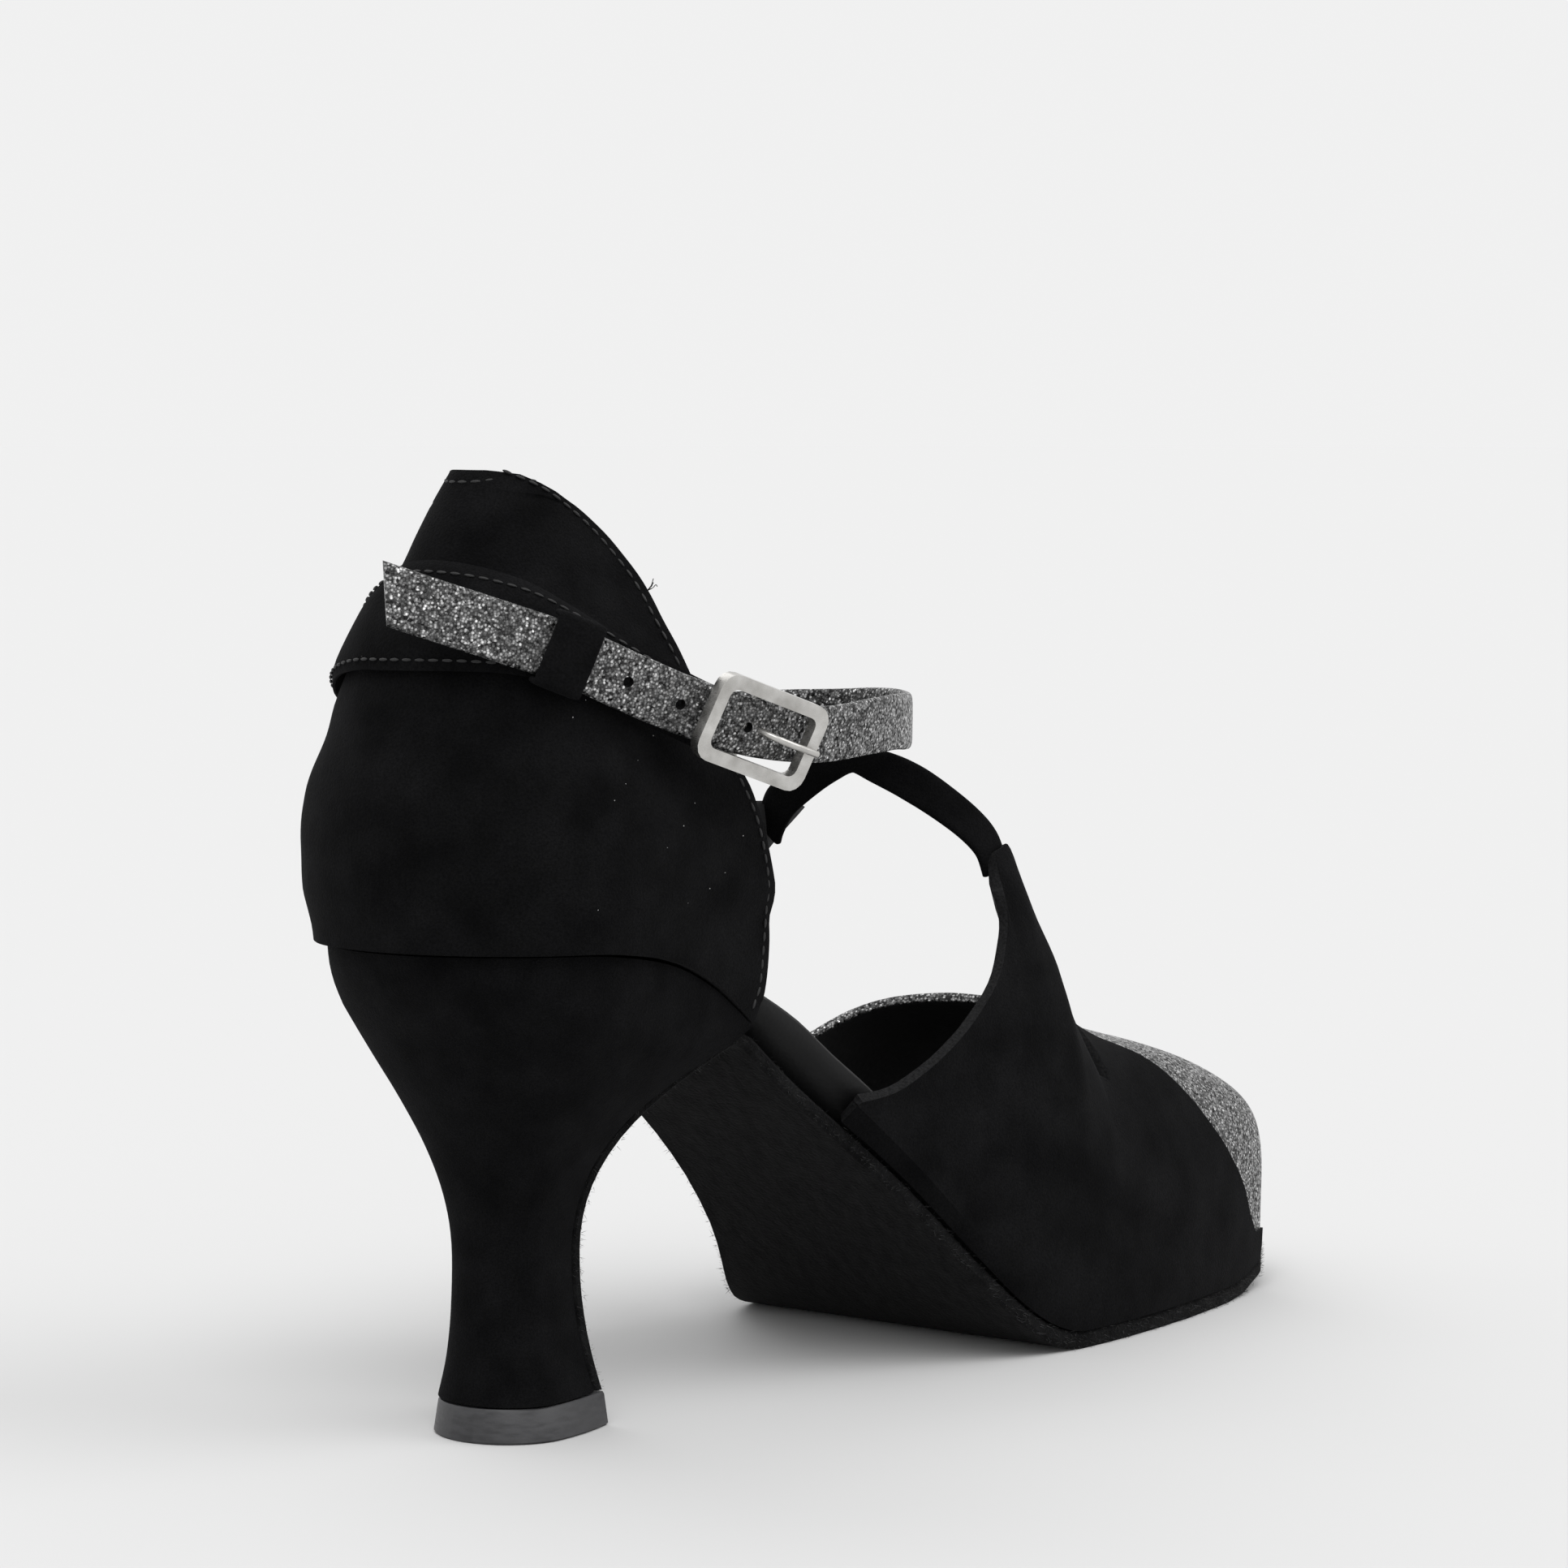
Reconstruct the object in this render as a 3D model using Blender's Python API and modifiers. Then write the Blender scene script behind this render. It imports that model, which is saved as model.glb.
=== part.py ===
# Latin dance shoe, right foot: suede quarter and vamp, glitter straps, flared heel.
# Metres, Z up. The origin is on the floor under the heel, +X to the toe, +Y to the inner side.
import math

import bmesh
import bpy
from mathutils import Matrix, Vector

# Driving sizes of the last
LAST_LENGTH = 0.200
HALF_WIDTH = 0.040
HEEL_HEIGHT = 0.080
COLLAR_RISE = 0.072
INSTEP_HEIGHT = 0.060

# Walls and layers
UPPER_WALL = 0.0018
PANEL_STEP = 0.0005
FIT = 0.0003
SOLE_THICK = 0.0030
WAIST_THICK = 0.0025
FLAP_THICK = 0.0022
LIFT_THICK = 0.0055
LIFT_FLARE = 0.0009
FEATHER = 0.0030
INSOLE_TUCK = 0.0048
INSOLE_TOE_MARGIN = 0.0030
SIDE_TAPER = 0.06
CROWN_FALL = 0.0016
CROWN_RUN = 0.0120

# Straps, band, keeper and buckle
STRAP_WIDTH = 0.0092
STRAP_THICK = 0.0016
INSTEP_STRAP_WIDTH = 0.0065
INSTEP_STRAP_THICK = 0.0016
BAND_THICK = 0.0020
BAND_GAP = 0.0005
KEEPER_WIDTH = 0.0080
KEEPER_THICK = 0.0012
BUCKLE_LENGTH = 0.0228
BUCKLE_BAR = 0.0022
BUCKLE_THICK = 0.0020
BUCKLE_CORNER = 0.0028
CENTRE_BAR_RADIUS = 0.0008
PRONG_RADIUS = 0.0006
PRONG_HOLE_RADIUS = 0.0013
PRONG_REACH = 0.0080
PRONG_HOLE_REACH = 0.0040
# Where the prong bends, in steps from the bar and as a share of its height.
PRONG_BEND = 1.8
PRONG_LEVEL = 3.2
PRONG_RISE = 0.7


def table(names, rows):
    return {name: [row[i] for row in rows] for i, name in enumerate(names.split())}


# Underside of the sole as a path, from the foot of the breast flap to the toe.
# x is a share of LAST_LENGTH, z of HEEL_HEIGHT, outer and inner of HALF_WIDTH.
SOLE = table("x z outer inner", [
    (0.0625, 0.0725, 0.2325, 0.2325),
    (0.0580, 0.125, 0.2125, 0.2125),
    (0.0535, 0.188, 0.195, 0.195),
    (0.0500, 0.262, 0.1825, 0.1825),
    (0.0490, 0.325, 0.1775, 0.1775),
    (0.0500, 0.388, 0.1775, 0.1775),
    (0.0540, 0.450, 0.1925, 0.1925),
    (0.0625, 0.512, 0.225, 0.225),
    (0.0760, 0.575, 0.280, 0.280),
    (0.0940, 0.632, 0.350, 0.350),
    (0.1150, 0.679, 0.420, 0.420),
    (0.1375, 0.715, 0.470, 0.470),
    (0.1575, 0.739, 0.495, 0.495),
    (0.1715, 0.741, 0.500, 0.500),
    (0.1875, 0.712, 0.502, 0.495),
    (0.2150, 0.654, 0.510, 0.478),
    (0.2550, 0.575, 0.532, 0.482),
    (0.3000, 0.485, 0.580, 0.500),
    (0.3500, 0.375, 0.650, 0.540),
    (0.4000, 0.254, 0.712, 0.612),
    (0.4400, 0.160, 0.762, 0.715),
    (0.4750, 0.088, 0.795, 0.825),
    (0.5100, 0.035, 0.815, 0.922),
    (0.5400, 0.008, 0.825, 0.975),
    (0.5600, 0.000, 0.832, 0.992),
    (0.5900, 0.000, 0.838, 1.000),
    (0.6250, 0.000, 0.838, 0.988),
    (0.6750, 0.000, 0.825, 0.950),
    (0.7350, 0.000, 0.800, 0.875),
    (0.8000, 0.000, 0.750, 0.750),
    (0.8250, 0.000, 0.725, 0.700),
    (0.8600, 0.006, 0.688, 0.625),
    (0.9100, 0.028, 0.612, 0.500),
    (0.9500, 0.059, 0.488, 0.375),
    (0.9850, 0.092, 0.325, 0.238),
    (1.0025, 0.111, 0.212, 0.150),
    (1.0120, 0.121, 0.112, 0.075),
    (1.0160, 0.125, 0.050, 0.030),
])
SEAT_END = 13
WAIST_END = 24

# Line on which the heel seat, the quarter's foot and the insole meet.
SEAT = table("x z", [
    (-0.170, 0.986),
    (-0.050, 0.979),
    (0.000, 0.966),
    (0.050, 0.941),
    (0.100, 0.891),
    (0.140, 0.831),
    (0.170, 0.781),
])

# Outside of the upper where it leaves the sole, as shares of HALF_WIDTH.
EDGE = table("x outer inner", [
    (0.000, 0.698, 0.698),
    (0.100, 0.655, 0.655),
    (0.165, 0.585, 0.600),
    (0.225, 0.600, 0.600),
    (0.275, 0.630, 0.600),
    (0.325, 0.670, 0.615),
    (0.360, 0.705, 0.640),
    (0.400, 0.740, 0.690),
    (0.435, 0.772, 0.755),
    (0.460, 0.792, 0.805),
    (0.500, 0.818, 0.905),
    (0.540, 0.830, 0.975),
    (0.575, 0.840, 1.000),
    (0.625, 0.840, 0.988),
    (0.675, 0.825, 0.950),
    (0.735, 0.800, 0.875),
    (0.800, 0.750, 0.750),
    (0.860, 0.688, 0.625),
    (0.910, 0.612, 0.500),
    (0.950, 0.488, 0.375),
    (0.985, 0.325, 0.238),
    (1.016, 0.100, 0.075),
])

# Top of the insole.
FOOTBED = table("x z", [
    (-0.150, 1.037),
    (0.000, 1.019),
    (0.100, 0.969),
    (0.170, 0.875),
    (0.235, 0.784),
    (0.275, 0.705),
    (0.320, 0.619),
    (0.375, 0.494),
    (0.425, 0.369),
    (0.475, 0.250),
    (0.515, 0.175),
    (0.560, 0.119),
    (0.610, 0.094),
    (0.700, 0.088),
    (0.825, 0.094),
    (0.900, 0.112),
    (0.960, 0.144),
    (1.000, 0.162),
])

# Insole: bearings of its round back end, stations along LAST_LENGTH, where its side is
# widest as a share of its thickness, and its narrowest foot as a share of its width.
INSOLE_BEARINGS = (8, 22, 38, 54, 72)
INSOLE_STATIONS = (-0.02, 0.02, 0.06, 0.10, 0.13, 0.155, 0.175, 0.195, 0.215, 0.235, 0.255,
                   0.275, 0.295, 0.315, 0.335, 0.355, 0.375, 0.395, 0.415, 0.435, 0.455,
                   0.475, 0.495, 0.515, 0.535, 0.56, 0.61, 0.66, 0.72, 0.78, 0.83, 0.87,
                   0.905, 0.935, 0.96, 0.98)
INSOLE_SHOULDER = 0.62
INSOLE_FOOT = 0.94

# Heel block rings: heights as shares of HEEL_HEIGHT, back as a share of LAST_LENGTH,
# half-widths in the middle and at the breast as shares of HALF_WIDTH.
HEEL = table("z_back z_breast back middle breast", [
    (0.0725, 0.0725, -0.0525, 0.275, 0.2325),
    (0.150, 0.150, -0.0465, 0.240, 0.205),
    (0.250, 0.250, -0.0430, 0.218, 0.182),
    (0.375, 0.375, -0.0430, 0.212, 0.175),
    (0.475, 0.462, -0.0495, 0.240, 0.195),
    (0.575, 0.538, -0.0630, 0.305, 0.240),
    (0.675, 0.612, -0.0815, 0.405, 0.320),
    (0.775, 0.675, -0.1040, 0.512, 0.425),
    (0.875, 0.735, -0.1270, 0.620, 0.530),
])
HEEL_WIDEST = 0.45
HEEL_TOP_BACK = -0.1475
HEEL_TOP_BREAST = 0.1625
HEEL_TOP_MIDDLE = 0.650
HEEL_TOP_FRONT = 0.590

# Quarter sections: rise as a share of COLLAR_RISE above the heel height,
# centre, back reach and half-width as shares of HALF_WIDTH.
QUARTER = table("rise centre back half", [
    (-0.280, -0.100, 0.660, 0.612),
    (-0.140, -0.100, 0.670, 0.670),
    (0.000, -0.100, 0.683, 0.695),
    (0.100, -0.100, 0.714, 0.742),
    (0.200, -0.100, 0.717, 0.745),
    (0.300, -0.100, 0.707, 0.715),
    (0.400, -0.080, 0.674, 0.655),
    (0.500, -0.062, 0.640, 0.595),
    (0.600, -0.038, 0.596, 0.532),
    (0.700, -0.005, 0.545, 0.445),
    (0.800, 0.032, 0.478, 0.355),
    (0.900, 0.070, 0.415, 0.290),
    (1.000, 0.110, 0.340, 0.225),
])

# Front edges of the quarter. lift runs from 0 at the sole to 1 at the collar,
# the edges are shares of LAST_LENGTH, the first rows of the inner side join the wing.
COLLAR = table("lift outer inner", [
    (0.000, 0.165, 0.100),
    (0.035, 0.168, 0.100),
    (0.080, 0.172, 0.100),
    (0.160, 0.173, 0.100),
    (0.230, 0.170, 0.100),
    (0.300, 0.161, 0.100),
    (0.380, 0.147, 0.100),
    (0.440, 0.133, 0.100),
    (0.500, 0.116, 0.100),
    (0.570, 0.102, 0.086),
    (0.640, 0.092, 0.076),
    (0.720, 0.083, 0.068),
    (0.790, 0.076, 0.060),
    (0.850, 0.061, 0.045),
    (0.930, 0.030, 0.016),
    (0.975, 0.003, -0.004),
    (1.000, -0.024, -0.030),
])
WING_ROWS = 9

# Inner wing: its front edge from the waist to the tab, one row for each quarter row,
# and its topline from the quarter to the tab. y in HALF_WIDTH, rise in COLLAR_RISE.
WING_FRONT = table("x y rise", [
    (0.292, 0.608, -0.455),
    (0.322, 0.635, -0.400),
    (0.352, 0.648, -0.330),
    (0.382, 0.642, -0.240),
    (0.410, 0.625, -0.125),
    (0.435, 0.588, -0.020),
    (0.460, 0.540, 0.080),
    (0.488, 0.455, 0.180),
])
WING_TOP = table("x y rise", [
    (0.100, 0.640, 0.445),
    (0.150, 0.672, 0.310),
    (0.225, 0.675, 0.208),
    (0.300, 0.650, 0.167),
    (0.375, 0.588, 0.167),
    (0.430, 0.510, 0.192),
    (0.488, 0.455, 0.180),
])
WING_COLUMNS = 9

# Vamp: ridge height in INSTEP_HEIGHT, fullness of the two sides as exponents.
RIDGE = table("x z outer inner", [
    (0.430, 1.600, 2.3, 2.1),
    (0.500, 1.450, 2.3, 2.1),
    (0.575, 1.183, 2.3, 2.1),
    (0.650, 0.975, 2.4, 2.3),
    (0.700, 0.883, 2.6, 2.4),
    (0.750, 0.833, 2.8, 2.6),
    (0.800, 0.790, 3.1, 2.9),
    (0.850, 0.737, 3.5, 3.3),
    (0.900, 0.665, 4.0, 3.8),
    (0.950, 0.575, 4.5, 4.3),
])
# Throat and toe edge of the vamp round the girth: 0 at the outer sole, 1 at the inner.
VAMP_ENDS = table("girth throat toe", [
    (0.000, 0.6475, 0.905),
    (0.100, 0.6475, 0.922),
    (0.234, 0.6475, 0.932),
    (0.300, 0.6500, 0.936),
    (0.364, 0.6550, 0.939),
    (0.460, 0.6620, 0.943),
    (0.500, 0.6620, 0.944),
    (0.576, 0.6510, 0.944),
    (0.616, 0.6410, 0.943),
    (0.741, 0.5930, 0.937),
    (0.850, 0.5280, 0.925),
    (0.909, 0.4900, 0.918),
    (1.000, 0.4450, 0.908),
])
# Edge of the suede side panel round the girth.
PANEL = table("x girth", [
    (0.640, 0.364),
    (0.690, 0.360),
    (0.730, 0.345),
    (0.750, 0.315),
    (0.770, 0.258),
    (0.795, 0.185),
    (0.822, 0.120),
    (0.851, 0.070),
    (0.880, 0.045),
    (0.950, 0.040),
])
PANEL_SHARES = (0.0, 0.16, 0.32, 0.48, 0.643, 0.82, 1.0)
PANEL_LIP = 0.012
NOTCH_ROW = 4
VAMP_TOP_ROWS = 11
VAMP_COLUMNS = 12

# Outer wing: foot of each rib on the sole, and its top edge.
RIBS = table("foot x y rise", [
    (0.285, 0.290, -0.645, -0.440),
    (0.315, 0.335, -0.695, -0.418),
    (0.350, 0.403, -0.725, -0.324),
    (0.390, 0.462, -0.700, -0.208),
    (0.425, 0.491, -0.650, -0.103),
    (0.465, 0.502, -0.600, -0.020),
    (0.500, 0.506, -0.530, 0.072),
    (0.515, 0.520, -0.512, 0.092),
    (0.530, 0.537, -0.500, 0.088),
    (0.550, 0.550, -0.575, -0.058),
    (0.573, 0.573, -0.625, -0.199),
    (0.595, 0.590, -0.650, -0.329),
    (0.625, 0.630, -0.650, -0.478),
])

# Instep strap: middle line and the lean of its width from upright, in degrees.
INSTEP_STRAP = table("x y rise lean", [
    (0.5200, -0.490, 0.045, 62),
    (0.5080, -0.488, 0.105, 50),
    (0.4850, -0.470, 0.160, 35),
    (0.4550, -0.410, 0.222, 12),
    (0.4350, -0.325, 0.267, -8),
    (0.4220, -0.225, 0.296, -22),
    (0.4150, -0.100, 0.318, -30),
    (0.4220, 0.050, 0.290, -30),
    (0.4290, 0.225, 0.238, -28),
    (0.4370, 0.350, 0.195, -24),
    (0.4480, 0.440, 0.150, -20),
    (0.4560, 0.490, 0.115, -18),
])

# Ankle strap from its seat on the inner quarter round the front to the tail's tip.
ANKLE_STRAP = table("x y rise lean", [
    (0.060, 0.712, 0.415, 0),
    (0.100, 0.722, 0.408, 0),
    (0.140, 0.742, 0.398, 0),
    (0.210, 0.765, 0.389, 0),
    (0.270, 0.712, 0.389, 0),
    (0.330, 0.600, 0.393, 0),
    (0.380, 0.425, 0.400, 0),
    (0.410, 0.225, 0.406, 0),
    (0.429, 0.000, 0.410, 0),
    (0.423, -0.200, 0.417, 0),
    (0.400, -0.412, 0.421, 0),
    (0.365, -0.600, 0.421, 0),
    (0.330, -0.725, 0.424, 2),
    (0.290, -0.825, 0.431, 4),
    (0.230, -0.925, 0.431, 8),
    (0.155, -0.957, 0.424, 12),
    (0.080, -0.920, 0.448, 15),
    (0.022, -0.820, 0.501, 15),
    (-0.020, -0.728, 0.552, 10),
    (-0.067, -0.612, 0.616, 6),
    (-0.113, -0.474, 0.667, 3),
    (-0.152, -0.322, 0.712, 1),
    (-0.185, -0.165, 0.755, 0),
])
BUCKLE_STATION = 16
BUCKLE_TURN = 7.0
KEEPER_STATION = 19

# Heel band: bearing round the quarter in degrees, 0 at the back, inner side positive.
# middle and width as shares of COLLAR_RISE.
BAND = table("bearing middle width", [
    (90, 0.505, 0.160),
    (75, 0.560, 0.165),
    (60, 0.600, 0.175),
    (45, 0.640, 0.190),
    (30, 0.668, 0.205),
    (15, 0.688, 0.222),
    (0, 0.694, 0.230),
    (-15, 0.694, 0.228),
    (-30, 0.690, 0.220),
    (-45, 0.680, 0.208),
    (-60, 0.660, 0.198),
    (-75, 0.625, 0.185),
    (-90, 0.585, 0.172),
])
BAND_TAIL = table("x y middle width", [
    (0.020, -0.640, 0.535, 0.163),
    (0.050, -0.730, 0.487, 0.156),
    (0.072, -0.780, 0.458, 0.152),
])
BAND_INNER_END = 0.045
BAND_INNER_DROP = 0.03
BAND_TAIL_START = -0.540
BAND_HEIGHTS = (-0.5, -0.17, 0.17, 0.5)


# Reading the tables
def read(columns, name, at, key="x"):
    """Smooth value of a column, without overshoot between its rows."""
    xs, ys = columns[key], columns[name]
    if at <= xs[0]:
        return ys[0]
    if at >= xs[-1]:
        return ys[-1]
    steps = [(ys[i + 1] - ys[i]) / (xs[i + 1] - xs[i]) for i in range(len(xs) - 1)]
    i = max(k for k in range(len(steps)) if xs[k] <= at)

    def slope(k):
        if k == 0 or k == len(steps):
            return steps[min(k, len(steps) - 1)]
        before, after = steps[k - 1], steps[k]
        return 0.0 if before * after <= 0 else 2 * before * after / (before + after)

    span = xs[i + 1] - xs[i]
    t = (at - xs[i]) / span
    a, b = slope(i) * span, slope(i + 1) * span
    return (ys[i] * (2 * t ** 3 - 3 * t ** 2 + 1) + a * (t ** 3 - 2 * t ** 2 + t)
            + ys[i + 1] * (3 * t ** 2 - 2 * t ** 3) + b * (t ** 3 - t ** 2))


def rise(share):
    return HEEL_HEIGHT + share * COLLAR_RISE


def catmull(points, pieces):
    """Points along a smooth curve through the given ones."""
    out = []
    for i in range(len(points) - 1):
        before = points[max(i - 1, 0)]
        start, end = points[i], points[i + 1]
        after = points[min(i + 2, len(points) - 1)]
        for k in range(pieces):
            t = k / pieces
            a, b = (end - before) / 2, (after - start) / 2
            out.append(start * (2 * t ** 3 - 3 * t ** 2 + 1) + a * (t ** 3 - 2 * t ** 2 + t)
                       + end * (3 * t ** 2 - 2 * t ** 3) + b * (t ** 3 - t ** 2))
    return out + [points[-1]]


# Making meshes
def new_object(name, verts, faces, collection, material=None):
    mesh = bpy.data.meshes.new(name)
    mesh.from_pydata([tuple(v) for v in verts], [], faces)
    body = bmesh.new()
    body.from_mesh(mesh)
    bmesh.ops.remove_doubles(body, verts=body.verts, dist=0.000002)
    body.to_mesh(mesh)
    body.free()
    mesh.shade_smooth()
    mesh.set_sharp_from_angle(angle=math.radians(40))
    if material:
        mesh.materials.append(material)
    obj = bpy.data.objects.new(name, mesh)
    collection.objects.link(obj)
    return obj


def grid_faces(rows, columns, start=0, turned=False):
    faces = []
    for i in range(rows - 1):
        for j in range(columns - 1):
            a = start + i * columns + j
            b, c, d = a + 1, a + columns + 1, a + columns
            faces.append((a, b, c, d) if turned else (a, d, c, b))
    return faces


def loft(name, sections, collection, material):
    """Closed body through rings of as many points, each cap laddered from side to side."""
    count = len(sections[0])
    verts = [p for ring in sections for p in ring]
    faces = []
    for i in range(len(sections) - 1):
        for j in range(count):
            a, b = i * count + j, i * count + (j + 1) % count
            faces.append((a, b, b + count, a + count))
    last = (len(sections) - 1) * count
    for start, back in ((0, True), (last, False)):
        for k in range(count // 2 - 1):
            quad = (start + k, start + k + 1, start + count - 2 - k, start + count - 1 - k)
            faces.append(quad[::-1] if back else quad)
    obj = new_object(name, verts, faces, collection, material)
    body = bmesh.new()
    body.from_mesh(obj.data)
    bmesh.ops.recalc_face_normals(body, faces=body.faces)
    body.to_mesh(obj.data)
    body.free()
    return obj


def finish_material(name, colour, roughness, metallic=0.0):
    material = bpy.data.materials.new(name)
    material.use_nodes = True
    shader = material.node_tree.nodes["Principled BSDF"]
    shader.inputs["Base Color"].default_value = (*colour, 1.0)
    shader.inputs["Roughness"].default_value = roughness
    shader.inputs["Metallic"].default_value = metallic
    return material


def add_boolean(obj, other, operation):
    step = obj.modifiers.new(operation.lower(), "BOOLEAN")
    step.operation = operation
    step.object = other
    step.solver = "EXACT"


def thicken(obj, thickness, offset):
    wall = obj.modifiers.new("wall", "SOLIDIFY")
    wall.thickness = thickness
    wall.offset = offset
    wall.use_even_offset = True


# Sole path
def sole_path():
    """Stations of the underside with their inward normals, thickness and half-widths."""
    rows = [Vector((x * LAST_LENGTH, z * HEEL_HEIGHT, out * HALF_WIDTH, inn * HALF_WIDTH))
            for x, z, out, inn in zip(*(SOLE[k] for k in ("x", "z", "outer", "inner")))]
    rows[0][1] = LIFT_THICK + FIT
    points = catmull(rows[:WAIST_END + 1], 2) + rows[WAIST_END + 1:]
    stations = []
    for i, p in enumerate(points):
        before, after = points[max(i - 1, 0)], points[min(i + 1, len(points) - 1)]
        along = Vector((after.x - before.x, after.y - before.y)).normalized()
        normal = Vector((-along.y, along.x)) if i else Vector((-1, 0))
        if i <= 2 * SEAT_END:
            thick = FLAP_THICK
        else:
            run = min((i - 2 * SEAT_END) / (2 * (WAIST_END - SEAT_END)), 1)
            thick = WAIST_THICK + (SOLE_THICK - WAIST_THICK) * run
        stations.append((p, normal, thick))
    return stations


PATH = sole_path()


def polyline(points, at):
    """Second coordinate of a rising polyline at a value of its first."""
    for a, b in zip(points, points[1:]):
        if a[0] <= at <= b[0]:
            return a[1] + (b[1] - a[1]) * (at - a[0]) / max(b[0] - a[0], 1e-9)
    return points[0][1] if at < points[0][0] else points[-1][1]


SOLE_TOP = [(p.x + n.x * t, p.y + n.y * t) for p, n, t in PATH[2 * SEAT_END:]]
BREAST = [(p.y + n.y * (t + FIT), p.x + n.x * (t + FIT)) for p, n, t in PATH[:2 * SEAT_END + 1]]


def seat_height(x):
    return read(SEAT, "z", x / LAST_LENGTH) * HEEL_HEIGHT


def foot_height(x):
    """Where the upper and the insole stand: the heel seat, then the top of the sole."""
    join = SEAT["x"][-1] * LAST_LENGTH
    return (seat_height(x) if x < join else polyline(SOLE_TOP, x)) + FIT / 2


def sole_half(side, x):
    rows = [(p.x, p.z if side < 0 else p.w) for p, n, t in PATH[2 * SEAT_END:]]
    return polyline(rows, x)


def edge_half(side, x):
    return read(EDGE, "outer" if side < 0 else "inner", x / LAST_LENGTH) * HALF_WIDTH


def tuck_half(side, x):
    """Half-width of the upper's foot, drawn in under the waist."""
    edge = edge_half(side, x) - FIT
    if x < SEAT["x"][-1] * LAST_LENGTH:
        return edge
    return min(edge, sole_half(side, x) - FIT)


# Sole, insole, heel and lift
def make_outsole(collection, material):
    rings = []
    for p, n, t in PATH:
        top = Vector((p.x + n.x * t, p.y + n.y * t))
        rings.append([Vector((p.x, -p.z, p.y)), Vector((top.x, -p.z, top.y)),
                      Vector((top.x, p.w, top.y)), Vector((p.x, p.w, p.y))])
    return loft("outsole", rings, collection, material)


def insole_half(side, x):
    heel_centre = QUARTER["centre"][2] * HALF_WIDTH
    room = UPPER_WALL + 2 * FIT
    if x < heel_centre:
        reach = QUARTER["back"][2] * HALF_WIDTH - room
        wide = edge_half(side, 0.0) - room
        return wide * math.sqrt(max(1 - ((x - heel_centre) / reach) ** 2, 0.0))
    toe_start = VAMP_ENDS["toe"][0] * LAST_LENGTH
    half = edge_half(side, x) - room
    return min(half, sole_half(side, x) - INSOLE_TOE_MARGIN) if x > toe_start else half


def make_insole(collection, material):
    centre = QUARTER["centre"][2] * HALF_WIDTH
    reach = QUARTER["back"][2] * HALF_WIDTH - UPPER_WALL - 2 * FIT
    stations = [centre - reach * math.cos(math.radians(a)) for a in INSOLE_BEARINGS]
    stations += [x * LAST_LENGTH for x in INSOLE_STATIONS]
    rings = []
    for x in stations:
        low = foot_height(x) + FIT
        top = read(FOOTBED, "z", x / LAST_LENGTH) * HEEL_HEIGHT
        middle = low + INSOLE_SHOULDER * (top - low)
        ring = []
        for side in (-1, 1):
            full = insole_half(side, x)
            foot = min(tuck_half(side, x) - INSOLE_TUCK, full * INSOLE_FOOT)
            ring.append([Vector((x, side * foot, low)), Vector((x, side * full, middle)),
                         Vector((x, side * full, top))])
        rings.append(ring[0] + ring[1][::-1])
    return loft("insole", rings, collection, material)


def heel_ring(back, front, middle, breast, height):
    """D-shaped ring, round behind and flat at the breast; height is a function of x."""
    centre = back + HEEL_WIDEST * (front - back)
    half = []
    for k in range(7):
        a = math.radians(90 * (k + 0.4) / 6.4)
        half.append((centre - (centre - back) * math.cos(a), middle * math.sin(a)))
    for k in range(1, 4):
        t = k / 3
        half.append((centre + (front - centre) * t, middle + (breast - middle) * t * t))
    outer = [Vector((x, -y, height(x))) for x, y in half]
    return outer + [Vector((x, y, height(x))) for x, y in reversed(half)]


def make_heel(collection, material):
    rings = []
    for row in zip(*(HEEL[k] for k in ("z_back", "z_breast", "back", "middle", "breast"))):
        low, high = row[0] * HEEL_HEIGHT, row[1] * HEEL_HEIGHT
        if not rings:
            low = high = LIFT_THICK + FIT
        back = row[2] * LAST_LENGTH
        front = polyline(BREAST, high)

        def height(x, low=low, high=high, back=back, front=front):
            return low + (high - low) * (x - back) / (front - back)

        rings.append(heel_ring(back, front, row[3] * HALF_WIDTH, row[4] * HALF_WIDTH, height))
    rings.append(heel_ring(HEEL_TOP_BACK * LAST_LENGTH, HEEL_TOP_BREAST * LAST_LENGTH,
                           HEEL_TOP_MIDDLE * HALF_WIDTH, HEEL_TOP_FRONT * HALF_WIDTH,
                           lambda x: seat_height(x) - FIT))
    return loft("heel", rings, collection, material)


def make_top_lift(collection, material):
    back = HEEL["back"][0] * LAST_LENGTH - LIFT_FLARE / 2
    front = SOLE["x"][0] * LAST_LENGTH
    middle, breast = HEEL["middle"][0] * HALF_WIDTH, HEEL["breast"][0] * HALF_WIDTH
    rings = []
    for z, grow in ((0.0, LIFT_FLARE), (LIFT_THICK, 0.0)):
        rings.append(heel_ring(back - grow / 2, front + grow / 2, middle + grow,
                               breast + grow / 2, lambda x, z=z: z))
    return loft("top_lift", rings, collection, material)


# Quarter
def quarter_section(z):
    share = (z - HEEL_HEIGHT) / COLLAR_RISE
    return [read(QUARTER, name, share, "rise") * HALF_WIDTH for name in ("centre", "back", "half")]


def quarter_side(x, z, side):
    """Point of the quarter's side, forward of its centre."""
    centre, back, half = quarter_section(z)
    ahead = max(x - centre, 0.0) / (COLLAR["outer"][2] * LAST_LENGTH)
    return Vector((x, side * half * (1 - SIDE_TAPER * ahead ** 2), z))


def quarter_back(bearing, z):
    centre, back, half = quarter_section(z)
    return Vector((centre - back * math.cos(bearing), half * math.sin(bearing), z))


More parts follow.
